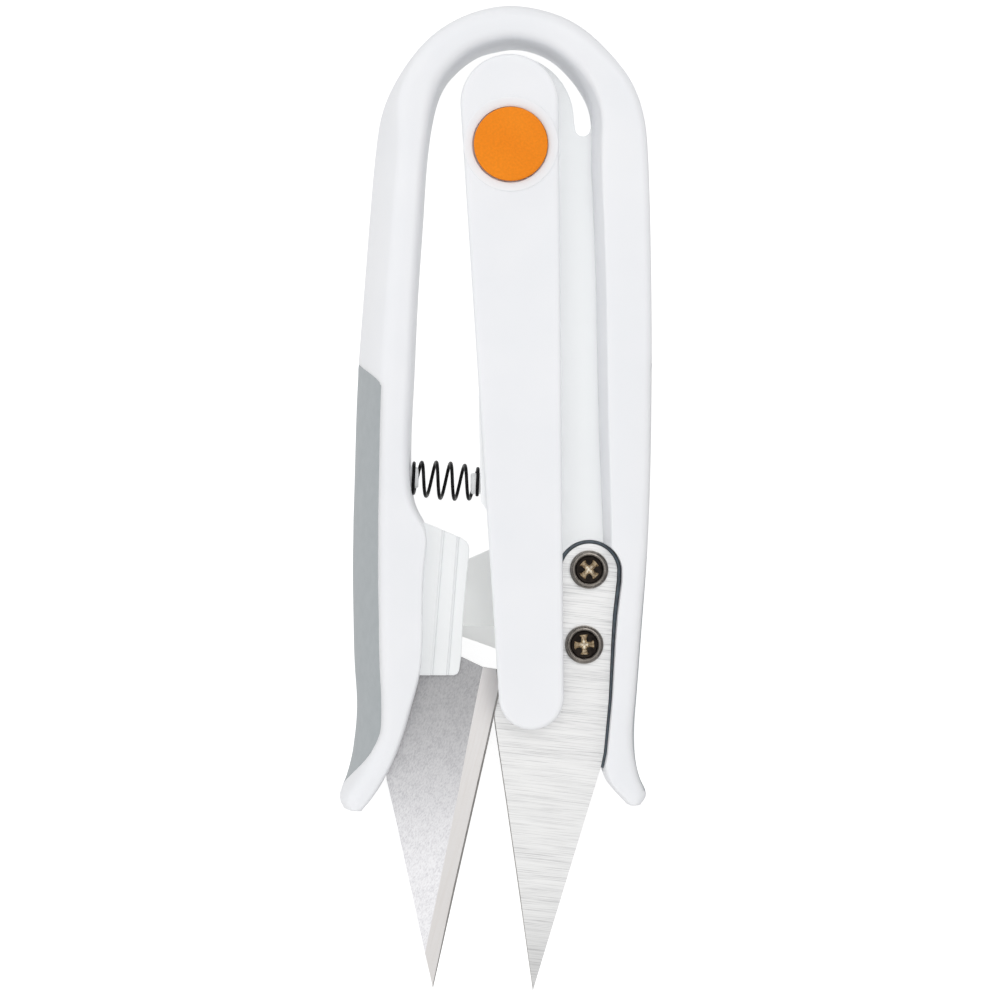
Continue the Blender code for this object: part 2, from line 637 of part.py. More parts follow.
def make_guide_bar():
    outline = two_circle_hull(BAR_HEAD, BAR_FOOT, steps=16)
    bar = plate("guide_bar", outline, *BAR_Z, "white_plastic", low_edge=0.25, high_edge=0.5)
    base, top = BAR_Z[0] + 1.0, BAR_Z[1] + COLLAR_H
    profile = [(0.0, base), (COLLAR_R, base), (COLLAR_R, BAR_Z[1]), (COLLAR_R - COLLAR_H, top), (0.0, top)]
    combine(bar, [turned("collar", profile, PIVOT, segments=36)], "UNION")
    cuts = [
        turned("bore", cylinder(PIN_R + RUNNING_GAP, 0.0, FAR), PIVOT),
        turned("counterbore", cylinder(PIN_HEAD_R + REST_GAP, PIN_HEAD_Z[0] - RUNNING_GAP, FAR), PIVOT),
        turned("cap_seat", cylinder(CAP_R + RUNNING_GAP, CAP_Z[0] - RUNNING_GAP, FAR), PIVOT),
    ]
    return combine(bar, cuts, "DIFFERENCE")


def make_pivot():
    """The pin with its washer and clip, and the cap over its head, which is returned."""
    low, high = PIN_HEAD_Z
    pin = [(0.0, CLIP_Z[0]), (PIN_R - 0.3, CLIP_Z[0]), (PIN_R, CLIP_Z[0] + 0.15), (PIN_R, low),
           (PIN_HEAD_R, low), (PIN_HEAD_R, high), (0.0, high)]
    cap = [(0.0, CAP_Z[0]), (CAP_R, CAP_Z[0]), (CAP_R, CAP_Z[1] - 0.35), (CAP_R - 0.12, CAP_Z[1] - 0.12),
           (CAP_R - 0.4, CAP_Z[1]), (0.0, CAP_Z[1])]
    turned("pivot_pin", pin, PIVOT, "pin_steel")
    washer("pivot_washer", PIVOT, PIN_R + RUNNING_GAP, WASHER_R, *WASHER_Z, "pin_steel")
    washer("pivot_clip", PIVOT, PIN_R + RUNNING_GAP / 2.0, CLIP_R, *CLIP_Z, "spring_steel")
    return turned("pivot_cap", cap, PIVOT, "orange_plastic", 40)


# ---------------------------------------------------------------- return spring

def coil_point(turns, basis):
    """Centre of the wire after so many turns, counted from the top of the first full coil."""
    start, along, up, out, length = basis
    first, last = SPRING_TURNS
    closed = 2.0 * WIRE_R * COIL_PITCH
    active_turns = last - first - 2.0 * CLOSED_TURNS
    active = min(max(turns - first - CLOSED_TURNS, 0.0), active_turns)
    flat = turns - first - active
    rise = flat * closed + active * (length - 2.0 * CLOSED_TURNS * closed) / active_turns
    r = SPRING_R[0] + (SPRING_R[1] - SPRING_R[0]) * math.sin(math.pi * rise / length) ** 0.7
    angle = 2.0 * math.pi * turns
    return start + along * rise + (up * math.cos(angle) + out * math.sin(angle)) * r


def make_spring(per_turn=12, sides=6):
    """Barrel-shaped compression spring with a closed turn at each end."""
    start, end = (Vector(place) for place in SPRING_ENDS)
    along = (end - start).normalized()
    up = Vector((0.0, 1.0, 0.0))
    up = (up - along * along.dot(up)).normalized()
    basis = (start, along, up, along.cross(up), (end - start).length)
    first, last = SPRING_TURNS
    steps = int((last - first) * per_turn)
    places = [first + (last - first) * k / steps for k in range(steps + 1)]
    centres = [coil_point(place, basis) for place in places]
    rings = []
    for k, centre in enumerate(centres):
        heading = (centres[min(k + 1, steps)] - centres[max(k - 1, 0)]).normalized()
        inwards = start + along * along.dot(centre - start) - centre
        inwards = (inwards - heading * inwards.dot(heading)).normalized()
        sideways = heading.cross(inwards)
        rings.append([centre + inwards * x + sideways * y for x, y in circle(0.0, 0.0, WIRE_R, sides)])
    return lofted("return_spring", rings, "spring_steel")


# ---------------------------------------------------------------- assembly

def turning_centre(name, place, height, parts):
    """An empty on a joint's axis, with the parts that turn about it."""
    empty = bpy.data.objects.new(name, None)
    empty.location = (place[0] * MM, place[1] * MM, height * MM)
    bpy.context.scene.collection.objects.link(empty)
    bpy.context.view_layer.update()
    for part in parts:
        part.parent = empty
        part.matrix_parent_inverse = empty.matrix_world.inverted()


def main():
    for old in list(bpy.data.objects):
        bpy.data.objects.remove(old)
    make_materials()
    make_fixed_arm()
    moving = [make_moving_arm()]
    make_blade("fixed_blade", FIXED_BLADE, FIXED_BLADE_Z[1], FIXED_BLADE_Z[0], 1, FIXED_SCREWS)
    moving.append(
        make_blade("moving_blade", MOVING_BLADE, MOVING_BLADE_Z[0], MOVING_BLADE_Z[1], -1, MOVING_SCREWS)
    )
    for where, place in FIXED_SCREWS.items():
        screw(f"fixed_blade_screw_{where}", place, FIXED_BLADE_Z[1] + SCREW_GAP, 1.0)
    for where, place in MOVING_SCREWS.items():
        moving.append(screw(f"moving_blade_screw_{where}", place, MOVING_BLADE_Z[0] - SCREW_GAP, -1.0))
    fixed_liner_z = (POCKET_FLOOR_Z + 0.1, FIXED_BLADE_Z[1] - 0.1)
    moving_liner_z = (MOVING_BLADE_Z[0], MOVING_POCKET_ROOF_Z - 0.15)
    liner("fixed_blade_liner", FIXED_TANG, FIXED_BACK, FIXED_HEEL, *fixed_liner_z)
    moving.append(
        liner("moving_blade_liner", MOVING_TANG, MOVING_BACK[:3], MOVING_HEEL, *moving_liner_z)
    )
    grip_pad("fixed_grip_pad", FIXED_RIBS, -1.0, material="grip_grey")
    moving.append(grip_pad("moving_grip_pad", MOVING_RIBS, 1.0, material="grip_grey"))
    make_spring()
    turning_centre("squeeze_axis", HINGE, HANDLE_H / 2.0, moving)
    turning_centre("guide_bar_axis", PIVOT, BAR_Z[0], [make_guide_bar(), make_pivot()])


main()
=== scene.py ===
import json
import math

import bmesh
import bpy
import numpy as np
from mathutils import Matrix, Vector


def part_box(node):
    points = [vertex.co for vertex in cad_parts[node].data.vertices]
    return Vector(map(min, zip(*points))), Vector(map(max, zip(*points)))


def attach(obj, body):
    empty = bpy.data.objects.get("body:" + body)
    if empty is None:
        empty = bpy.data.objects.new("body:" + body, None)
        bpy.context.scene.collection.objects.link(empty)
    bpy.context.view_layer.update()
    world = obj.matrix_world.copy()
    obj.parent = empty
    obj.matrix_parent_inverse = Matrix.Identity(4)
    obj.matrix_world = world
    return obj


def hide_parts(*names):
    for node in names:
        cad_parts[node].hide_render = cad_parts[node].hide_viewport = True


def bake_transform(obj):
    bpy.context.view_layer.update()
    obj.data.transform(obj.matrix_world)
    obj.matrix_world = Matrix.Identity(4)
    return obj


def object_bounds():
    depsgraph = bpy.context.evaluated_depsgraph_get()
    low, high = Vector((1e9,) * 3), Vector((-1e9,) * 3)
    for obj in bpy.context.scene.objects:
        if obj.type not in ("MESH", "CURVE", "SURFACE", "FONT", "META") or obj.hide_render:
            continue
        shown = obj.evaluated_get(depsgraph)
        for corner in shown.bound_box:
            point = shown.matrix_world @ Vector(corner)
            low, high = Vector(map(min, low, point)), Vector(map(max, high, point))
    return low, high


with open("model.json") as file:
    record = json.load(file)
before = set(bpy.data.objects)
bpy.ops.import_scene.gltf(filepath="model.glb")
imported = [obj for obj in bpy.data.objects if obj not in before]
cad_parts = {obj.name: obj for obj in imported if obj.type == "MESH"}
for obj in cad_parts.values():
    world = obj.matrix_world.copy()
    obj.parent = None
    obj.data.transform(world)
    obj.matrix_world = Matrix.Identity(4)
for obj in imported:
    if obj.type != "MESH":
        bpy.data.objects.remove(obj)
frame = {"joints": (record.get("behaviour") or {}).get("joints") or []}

# Lengths are in millimetres and the pieces are built in metres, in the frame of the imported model:
# +X across the handles, +Y towards the bow, +Z up.
MM = 0.001
CAD_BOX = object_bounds()
JOINTS = {joint["name"]: joint for joint in frame["joints"]}


def heights(node):
    """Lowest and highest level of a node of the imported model."""
    low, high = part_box(node)
    return low.z / MM, high.z / MM


def axis_place(joint):
    x, y, _ = JOINTS[joint]["pos_m"]
    return x / MM, y / MM


HINGE = axis_place("squeeze")
PIVOT = axis_place("guide_bar_swing")
HANDLE_H = heights("moving_arm")[1]
BAR_Z = heights("guide_bar")
CAP_Z = heights("pivot_cap")
WASHER_Z = heights("pivot_washer")
CLIP_Z = heights("pivot_clip")
PIN_Z = heights("pivot_pin")
FIXED_BLADE_Z = heights("fixed_blade")
MOVING_BLADE_Z = heights("moving_blade")

# Body of the handles and of the web between them.
PANEL_Z = (0.55, 5.6)
POCKET_FLOOR_Z = 4.0
MOVING_POCKET_ROOF_Z = 7.5
BOSS_TOP_Z = 8.3
BOSS_R = 4.4
SEAT_TOP_Z = 8.6
TRAY_Z = (0.3, 0.9)
TRAY_LIP_Z = 2.6
RIM_TOP_Z = 1.9
FAR = 20.0
LEAST_MITRE = 0.6

# Handle section: outer side, its slant and bulge, and the rounding of the edges.
SIDE_SLANT = 3.8
SIDE_BULGE = 0.55
CROWN_BULGE = 0.4
OUTER_EDGE_R = 1.2
LOW_INNER_R = 0.5
TOP_INNER_DEPTH = 1.6
SLANT_BLEND_Y = (44.0, 64.0)
TOE_START_Y = -30.0
TOE_END_Y = -41.0
TOE_SLANT = 0.9
RING_STEP = 0.6
TOE_DOME = ((0.78, 0.2), (0.88, 0.18), (0.95, 0.12), (0.985, 0.05))
TOE_TRIM = 0.1

# Ribs of the flexing bow from the left toe over the crown to the right toe:
# outer x, outer y, inner x, inner y.
LEFT_RIBS = (
    (-20.3, -40.7, -17.25, -40.85),
    (-20.85, -39.6, -16.45, -39.95),
    (-20.72, -38.4, -15.7, -38.95),
    (-20.15, -37.0, -14.7, -37.3),
    (-19.38, -34.5, -13.4, -34.9),
    (-18.82, -31.0, -11.9, -31.0),
    (-18.6, -27.0, -10.75, -27.0),
    (-18.85, -23.0, -9.8, -23.0),
    (-19.08, -16.0, -9.42, -16.0),
    (-19.16, -8.0, -9.1, -8.0),
    (-19.1, -4.5, -8.98, -4.5),
    (-19.08, -2.9, -9.5, -2.9),
    (-19.03, -1.3, -10.35, -1.3),
    (-18.94, 1.5, -10.95, 1.5),
    (-18.5, 15.0, -10.78, 15.0),
    (-17.64, 27.0, -10.2, 27.3),
    (-16.78, 38.0, -9.48, 38.0),
    (-15.85, 47.8, -8.6, 48.2),
    (-14.5, 53.4, -7.2, 53.8),
    (-11.2, 58.4, -4.95, 56.85),
    (-6.9, 62.2, -2.2, 58.8),
    (-2.0, 64.4, 0.15, 59.5),
)
CROWN_RIB = (HINGE[0], 65.0, HINGE[0] - 0.1, 59.8)
RIGHT_RIBS = (
    (6.0, 64.5, 3.9, 59.7),
    (10.8, 62.6, 7.2, 58.45),
    (14.9, 59.2, 9.85, 56.1),
    (18.0, 55.2, 11.6, 53.65),
    (19.7, 50.5, 12.7, 50.6),
    (20.2, 46.1, 12.75, 46.5),
    (20.5, 38.0, 13.0, 38.0),
    (20.74, 21.0, 13.5, 21.0),
    (20.6, 5.0, 13.9, 5.0),
    (20.0, -9.4, 14.4, -9.4),
    (19.5, -16.0, 14.3, -16.0),
    (18.7, -26.5, 13.6, -26.5),
    (18.45, -31.0, 13.6, -31.0),
    (18.8, -34.8, 13.9, -34.4),
    (19.55, -37.1, 14.5, -36.8),
    (20.2, -38.7, 15.6, -38.3),
    (19.5, -40.05, 17.3, -40.1),
)

# By place along the handle (y): how far the front edge stands back from the foot of the inner
# wall, how wide that edge is rounded, and how far the left outer side leans out more.
LEFT_DRAFT = (
    (-41.0, 0.2), (-27.0, 0.15), (-22.0, 0.04), (-3.0, 0.04), (1.5, 0.15), (48.0, 0.2), (60.0, 0.5),
)
RIGHT_DRAFT = (
    (-41.0, 0.4), (-30.0, 0.4), (0.0, 2.5), (32.0, 2.5), (46.0, 2.0), (54.0, 1.2), (64.5, 0.5),
)
LEFT_EDGE = (
    (-41.0, 0.5), (-27.0, 0.5), (-22.0, 0.3), (-4.6, 0.3), (-2.5, 0.8), (1.5, 1.0), (48.0, 0.95),
    (56.0, 2.0),
)
RIGHT_EDGE = (
    (-41.0, 0.5), (-30.0, 0.4), (0.0, 0.35), (40.0, 0.35), (48.0, 0.6), (54.0, 0.9), (64.5, 2.0),
)
LEFT_FLARE = (
    (-41.0, 0.0), (-36.0, 0.3), (-31.0, 0.3), (-27.0, 0.2), (-23.0, 0.3), (-16.0, 0.38),
    (-8.0, 0.36), (1.5, 0.22), (15.0, 0.1), (30.0, 0.0),
)
# The right inner wall leans from the front down to this level, and at the crown down to its foot.
RIGHT_WALL_Z = 7.2
CROWN_BLEND_Y = (50.0, 63.0)

# Grip pads in the outer sides.
PAD_T = 0.55
PAD_GAP = 0.03
PAD_Z_MARGIN = 0.75
PAD_TOP_Y = (14.9, 18.0)
PAD_TOE_Y = (-29.0, -38.6)
PAD_TOP_POWER = 1.6
PAD_TOE_POWER = 3.0
PAD_LEAST_Z = 0.5
PAD_TRIM = (0.35, 0.15)
CUTTER_OUT = 20.0
PAD_STEPS = 110
PAD_LEVELS = 12

# Web of the fixed side, with its tray, marks, spring seat, stop hook and step block.
PANEL_HEAD = (1.72, 49.95, 8.72)
SLOT_END = (11.63, 48.89, 1.0)
PANEL_INSET = 0.5
TRAY_OUTLINE = (
    (-6.8, -9.4), (0.8, -6.1), (4.1, -6.1), (4.1, -20.6), (0.3, -20.0), (-4.3, -18.35),
    (-6.8, -17.5),
)
TRAY_X = (-6.8, 4.1)
TRAY_Y = (-16.9, -6.1)
LIP_T = 1.0
ROUND_MARK = (10.2, 1.85, 0.92)
SQUARE_MARK = (9.65, 43.7, 0.65, 1.15)
MARK_CORNER_R = 0.4
MARK_DEPTH = 0.07
SEAT_OUTLINE = ((-2.15, 13.67), (-1.85, -0.3), (-0.92, -1.71), (1.5, -1.71), (1.5, 13.67))
HOOK_ROOT_X = -16.4
HOOK_X = (-5.5, -4.5)
HOOK_Y = (-15.4, -11.8)
HOOK_Z = (3.0, 4.2)
HOOK_TIP_Z = 1.2
BLOCK_STEPS = (
    (8.6, (-9.6, -3.0), (-10.0, -22.4)),
    (8.2, (-6.95, -4.6), (-8.4, -22.5)),
    (7.85, (-5.0, -5.6), (-6.3, -22.5)),
)
GROOVE_W = 0.28
GROOVE_DEPTH = 0.15
BLOCK_OUTLINE = (
    (-12.5, -3.6), (-9.9, -3.1), (-9.3, -3.1), (-8.6, -3.36), (-7.9, -3.65),
    (-4.3, -5.2), (-3.75, -5.6), (-3.45, -6.1), (-3.35, -6.8), (-4.15, -15.2), (-4.4, -20.5),
    (-4.68, -22.6), (-4.9, -23.05), (-5.4, -23.25), (-12.5, -23.2),
)

# Blades: round tang, back, heel, cutting edge from heel to tip, and the grinding line beside it.
TANG_R = 3.7
TANG_STEPS = 40
FIXED_TANG = (12.48, -9.64)
FIXED_BACK = (
    (16.1, -10.9), (15.6, -15.3), (15.4, -18.6), (15.05, -26.5), (14.4, -33.5), (14.0, -35.5),
)
FIXED_HEEL = ((8.78, -19.6), (4.9, -21.2))
FIXED_EDGE = (
    (-0.1, -22.6), (-0.55, -25.1), (0.0, -30.0), (1.45, -39.8), (3.2, -52.0), (5.02, -65.0),
)
FIXED_GRIND = (
    (1.9, -22.15), (2.1, -25.4), (2.5, -30.3), (3.9, -40.0), (5.3, -52.3), (6.5, -60.1),
)
FIXED_BLADE = (FIXED_TANG, FIXED_BACK, FIXED_HEEL, FIXED_EDGE, FIXED_GRIND)
MOVING_TANG = (-11.46, -8.96)
MOVING_BACK = (
    (-15.1, -10.2), (-14.94, -25.7), (-14.4, -34.6), (-14.25, -37.1), (-13.04, -42.3),
)
MOVING_HEEL = ((-7.78, -18.6), (-4.5, -20.8))
MOVING_EDGE = (
    (0.4, -22.5), (0.73, -25.0), (-0.7, -31.4), (-2.57, -39.7), (-5.25, -51.5), (-8.17, -64.6),
)
MOVING_GRIND = (
    (-1.58, -22.2), (-2.2, -25.2), (-3.42, -31.4), (-5.0, -39.7), (-7.44, -51.5), (-9.2, -59.9),
)
MOVING_BLADE = (MOVING_TANG, MOVING_BACK, MOVING_HEEL, MOVING_EDGE, MOVING_GRIND)
EDGE_T = 0.12
HONED_W = 0.26
HONED_T = 0.42
BACKED_W = 0.13
BLADE_EDGE_R = 0.08
SCREW_HOLE_GAP = 0.12
LINER_GAP = 0.05
POCKET_GAPS = ((-40.0, 0.4), (-22.0, 0.42), (-12.0, 0.62), (-6.0, 0.52))

# Screws: shank, head and dish as (radius, height), the head's rounding at each of its points, and
# the cross recess as (arm, half width, flare, height). Then each screw's x, y and turn.
SHANK_R = 1.1
SHANK_LENGTH = 4.3
SHANK_TIP = 0.6
HEAD_R = 2.55
HEAD_H = 1.25
HEAD_PROFILE = (
    (SHANK_R, 0.0), (HEAD_R, 0.0), (HEAD_R, 0.75), (2.2, HEAD_H), (1.98, HEAD_H), (1.93, 1.08),
    (1.82, 1.08), (1.7, 0.86), (0.0, 0.82),
)
HEAD_ROUNDING = (0.12, 0.3, 0.14, 0.03, 0.03, 0.03, 0.12)
DISH_R = 1.86
CROSS = (
    (1.3, 0.34, 0.56, HEAD_H + 0.6), (1.3, 0.34, 0.56, 0.83), (1.12, 0.24, 0.42, 0.55),
    (0.5, 0.12, 0.2, 0.1),
)
SCREW_GAP = 0.05
FIXED_SCREWS = {"upper": (12.45, -9.35, 45.0), "lower": (11.8, -19.25, 3.0)}
MOVING_SCREWS = {"upper": (-11.46, -8.7, 30.0), "lower": (-11.35, -18.7, 60.0)}

# Guide bar, as a head and a foot circle (x, y, radius), and its pivot.
BAR_HEAD = (1.94, 51.8, 6.43)
BAR_FOOT = (4.78, -26.0, 4.25)
BAR_STEPS = (150, 72, 56)
PIN_R = 1.6
PIN_HEAD_R = 2.7
PIN_HEAD_Z = (9.9, 10.6)
CAP_R = 4.84
WASHER_R = 3.8
CLIP_R = 3.2
RING_EASE = 0.07
COLLAR_R = 6.22
COLLAR_H = 0.25
COLLAR_DISH = 0.12
COLLAR_CREST = 0.25
COLLAR_ROOT = 1.2
COLLAR_FOOT = (0.12, 9.6)
CAP_GAP = 0.15
CAP_GAP_ASIDE = -0.07
BAR_TOP_EDGE_R = 0.5
BAR_LOW_EDGE_R = 0.3

# Return spring and the pegs that hold it.
SPRING_ENDS = ((-11.0, 2.78, 5.4), (-2.2, 2.0, 5.4))
SPRING_R = (1.9, 2.38)
WIRE_R = 0.23
WIRE_STEPS = 44
WIRE_SIDES = 14
SPRING_TURNS = (-0.3, 5.4)
CLOSED_TURNS = (0.95, 0.5)
COIL_PITCH = 1.15
PEG_R = 1.4
PEG_IN = 1.0
PEG_OUT = (0.9, 1.0)
PEG_EDGE_R = 0.3

# The view, in metres: straight down from above, aimed a little beside the middle of the box.
# The view is this wide at the level half way up the handles.
CAMERA_UP = 0.55
CAMERA_ASIDE = (0.000676, -0.00013)
VIEW_WIDTH = 0.1321
FOCUS_Z = 0.00575
SENSOR_WIDTH = 36.0
CLIP = (0.05, 10.0)

# Lamps as (place, diameter, power), in metres and watts. The sky is a little brighter on one side.
LAMPS = {"key": ((0.16, 0.30, 0.70), 0.42, 0.8), "glint": ((-0.36, -0.38, 0.42), 0.2, 0.2)}
SKY_STRENGTH = 0.86
SKY_LEAN = (-0.2, 0.05, 0.0)
FLOOR_HALF = 1.5
FLOOR_DROP = 0.00003


# ---------- curves and outlines

def between(table, at):
    """Value at a place in a table of (place, value) rows, in straight lines."""
    for (a, va), (b, vb) in zip(table, table[1:]):
        if at <= b:
            share = min(max((at - a) / (b - a), 0.0), 1.0)
            return va + (vb - va) * share
    return table[-1][1]


def smooth(low, high, at):
    share = min(max((at - low) / (high - low), 0.0), 1.0)
    return share * share * (3.0 - 2.0 * share)


def arc(cx, cy, r, start, end, steps):
    angles = (math.radians(start + (end - start) * k / steps) for k in range(steps + 1))
    return [(cx + r * math.cos(a), cy + r * math.sin(a)) for a in angles]


def quarter(steps):
    """Angles of a quarter turn."""
    return [math.pi / 2.0 * k / steps for k in range(steps + 1)]


def circle(cx, cy, r, segments=96):
    return arc(cx, cy, r, 0.0, 360.0, segments)[:-1]


def offset(outline, distance):
    """The closed outline moved outwards by a distance, which may depend on y."""
    area = sum(a[0] * b[1] - b[0] * a[1] for a, b in zip(outline, outline[1:] + outline[:1]))
    turn = math.copysign(1.0, area)
    moved = []
    for before, at, after in zip(outline[-1:] + outline[:-1], outline, outline[1:] + outline[:1]):
        d1 = Vector((at[0] - before[0], at[1] - before[1])).normalized()
        d2 = Vector((after[0] - at[0], after[1] - at[1])).normalized()
        normal = Vector((d1.y + d2.y, -d1.x - d2.x)).normalized()
        wanted = distance(at[1]) if callable(distance) else distance
        reach = turn * wanted / max(normal.dot(Vector((d1.y, -d1.x))), LEAST_MITRE)
        moved.append((at[0] + normal.x * reach, at[1] + normal.y * reach))
    return moved


def spline(rows):
    """A smooth curve through the rows, as a function of the distance along it, and its length."""
    rows = np.array(rows, float)
    steps = np.hypot(*np.diff(rows[:, :2], axis=0).T) + np.hypot(*np.diff(rows[:, 2:], axis=0).T)
    knots = np.concatenate([[0.0], np.cumsum(steps / 2.0)])
    gaps = np.diff(knots)
    slopes = np.diff(rows, axis=0) / gaps[:, None]
    matrix, right = np.eye(len(rows)), np.zeros_like(rows)
    for i in range(1, len(rows) - 1):
        matrix[i, i - 1 : i + 2] = gaps[i - 1], 2.0 * (gaps[i - 1] + gaps[i]), gaps[i]
        right[i] = 6.0 * (slopes[i] - slopes[i - 1])
    bend = np.linalg.solve(matrix, right)

    def at(s):
        i = min(max(int(np.searchsorted(knots, s)) - 1, 0), len(rows) - 2)
        a, b = (knots[i + 1] - s) / gaps[i], (s - knots[i]) / gaps[i]
        cubic = (a**3 - a) * bend[i] + (b**3 - b) * bend[i + 1]
        return a * rows[i] + b * rows[i + 1] + cubic * gaps[i] ** 2 / 6.0

    return at, float(knots[-1])


BOW_AT, BOW_LENGTH = spline(LEFT_RIBS + (CROWN_RIB,) + RIGHT_RIBS)


# ---------- meshes

def smoothed(obj, sharp=32.0):
    """Shades the object smooth, but for edges sharper than the angle."""
    obj.data.shade_smooth()
    obj.data.set_sharp_from_angle(angle=math.radians(sharp))


def new_object(name, data, materials=(), sharp=32.0):
    """An object in metres from mesh data in millimetres."""
    mesh = bpy.data.meshes.new(name)
    bmesh.ops.recalc_face_normals(data, faces=data.faces)
    bmesh.ops.scale(data, vec=(MM, MM, MM), verts=data.verts)
    data.to_mesh(mesh)
    data.free()
    obj = bpy.data.objects.new(name, mesh)
    bpy.context.scene.collection.objects.link(obj)
    for made in materials:
        mesh.materials.append(made)
    smoothed(obj, sharp)
    return obj


def join_loops(data, loops):
    """Quads between each loop of vertices and the next."""
    for low, high in zip(loops, loops[1:]):
        for k in range(len(low)):
            n = (k + 1) % len(low)
            data.faces.new((low[k], low[n], high[n], high[k]))


def lofted(name, rings, materials=(), closed=False):
    """A tube through rings of equal point counts, with flat ends unless it closes on itself."""
    data = bmesh.new()
    loops = [[data.verts.new(point) for point in ring] for ring in rings]
    join_loops(data, loops + loops[:1] if closed else loops)
    if not closed:
        data.faces.new(loops[0][::-1])
        data.faces.new(loops[-1])
    return new_object(name, data, materials)


def plate(name, outline, low, high, materials=()):
    rings = [[(x, y, z) for x, y in outline] for z in (low, high)]
    return lofted(name, rings, materials)


def slab(name, outline, low, high, low_r, high_r, materials=(), steps=4):
    """An outline extruded from low to high, with both rims rounded."""
    turns = quarter(steps)
    levels = [(low + low_r * (1.0 - math.cos(a)), low_r * (1.0 - math.sin(a))) for a in turns]
    levels += [(high - high_r * (1.0 - math.sin(a)), high_r * (1.0 - math.cos(a))) for a in turns]
    rings = [[(x, y, z) for x, y in offset(outline, -inset)] for z, inset in levels]
    return lofted(name, rings, materials)


def box(name, low, high):
    outline = [(low[0], low[1]), (high[0], low[1]), (high[0], high[1]), (low[0], high[1])]
    return plate(name, outline, low[2], high[2])


def turned(name, profile, centre, materials=(), segments=96, slots=()):
    """A solid of revolution about Z from (radius, height) points, with a material per band."""
    data = bmesh.new()
    rows = []
    for r, z in profile:
        ring = [centre] if r == 0 else circle(*centre, r, segments)
        rows.append([data.verts.new((x, y, z)) for x, y in ring])
    for band, (low, high) in enumerate(zip(rows, rows[1:])):
        for k in range(segments):
            n = (k + 1) % segments
            corners = low[k % len(low)], low[n % len(low)], high[n % len(high)], high[k % len(high)]
            face = data.faces.new(list(dict.fromkeys(corners)))
            face.material_index = slots[band] if slots else 0
    return new_object(name, data, materials)


def rounded(profile, radii, steps=4):
    """The open (radius, height) profile with each inner corner rounded by its radius."""
    made = [profile[0]]
    for before, at, after, r in zip(profile, profile[1:], profile[2:], radii):
        if not r:
            made.append(at)
            continue
        a, b = Vector(before) - Vector(at), Vector(after) - Vector(at)
        start, end = Vector(at) + a.normalized() * r, Vector(at) + b.normalized() * r
        for k in range(steps + 1):
            t = k / steps
            made.append(tuple(start * (1 - t) ** 2 + Vector(at) * (2 * t * (1 - t)) + end * t * t))
    return made + [profile[-1]]


def tube(path, r, sides, inwards_at):
    """Rings of a round wire along the path."""
    rings = []
    for k, centre in enumerate(path):
        heading = (path[min(k + 1, len(path) - 1)] - path[max(k - 1, 0)]).normalized()
        inwards = inwards_at(centre)
        inwards = (inwards - heading * inwards.dot(heading)).normalized()
        sideways = heading.cross(inwards)
        rings.append([centre + inwards * x + sideways * y for x, y in circle(0.0, 0.0, r, sides)])
    return rings


def rod(name, start, end, r, round_r):
    """A round rod between two points, its far edge rounded."""
    start, end = Vector(start), Vector(end)
    turn = (end - start).to_track_quat("Z", "Y").to_matrix()
    length = (end - start).length
    stations = [(0.0, r)] + [
        (length - round_r * (1.0 - math.sin(a)), r - round_r * (1.0 - math.cos(a)))
        for a in quarter(4)
    ]
    rings = []
    for along, radius in stations:
        ring = circle(0.0, 0.0, radius, 40)
        rings.append([start + turn @ Vector((x, y, along)) for x, y in ring])
    return lofted(name, rings)


def applied(obj):
    """The object with its modifiers applied."""
    graph = bpy.context.evaluated_depsgraph_get()
    result = bpy.data.meshes.new_from_object(obj.evaluated_get(graph))
    obj.modifiers.clear()
    obj.data = result
    return obj


def combine(target, others, operation):
    """Joins or cuts the target with each helper in turn, and drops the helpers."""
    for other in others:
        modifier = target.modifiers.new(other.name, "BOOLEAN")
        modifier.operation = operation
        modifier.solver = "EXACT"
        modifier.object = other
        applied(target)
        bpy.data.objects.remove(other)
    return target


def soften(obj, width, segments, angle):
    """Rounds every edge sharper than the angle."""
    modifier = obj.modifiers.new("edges", "BEVEL")
    modifier.width = width * MM
    modifier.segments = segments
    modifier.limit_method = "ANGLE"
    modifier.angle_limit = math.radians(angle)
    modifier.use_clamp_overlap = False
    modifier.miter_outer = "MITER_ARC"
    applied(obj)
    smoothed(obj)
    return obj


def finish_piece(obj, body, slot, *nodes):
    """The piece rides on its body and stands for CAD nodes. The slot is not used."""
    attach(obj, body)
    if nodes:
        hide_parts(*nodes)
    return obj


# ---------- materials


def add(tree, kind, inputs=None, **settings):
    """A shader node with its settings, its inputs set or linked."""
    made = tree.nodes.new("ShaderNode" + kind)
    for key, value in settings.items():
        setattr(made, key, value)
    for key, value in (inputs or {}).items():
        socket = made.inputs[key]
        if isinstance(value, bpy.types.NodeSocket):
            tree.links.new(value, socket)
        else:
            socket.default_value = value
    return made


def new_material(name):
    made = bpy.data.materials.new(name)
    made.use_nodes = True
    tree = made.node_tree
    return made, tree, tree.nodes["Principled BSDF"]


def stretched(tree, turn=0.0, scale=(1.0, 1.0, 1.0)):
    """Object coordinates turned about Z and stretched."""
    place = add(tree, "TexCoord").outputs["Object"]
    inputs = {"Vector": place, "Rotation": (0.0, 0.0, math.radians(turn))}
    turned_place = add(tree, "Mapping", inputs).outputs["Vector"]
    return add(tree, "Mapping", {"Vector": turned_place, "Scale": scale}).outputs["Vector"]


def noise(tree, vector, scale, detail=3.0, rough=0.5):
    inputs = {"Vector": vector, "Scale": scale, "Detail": detail, "Roughness": rough}
    return add(tree, "TexNoise", inputs).outputs["Fac"]


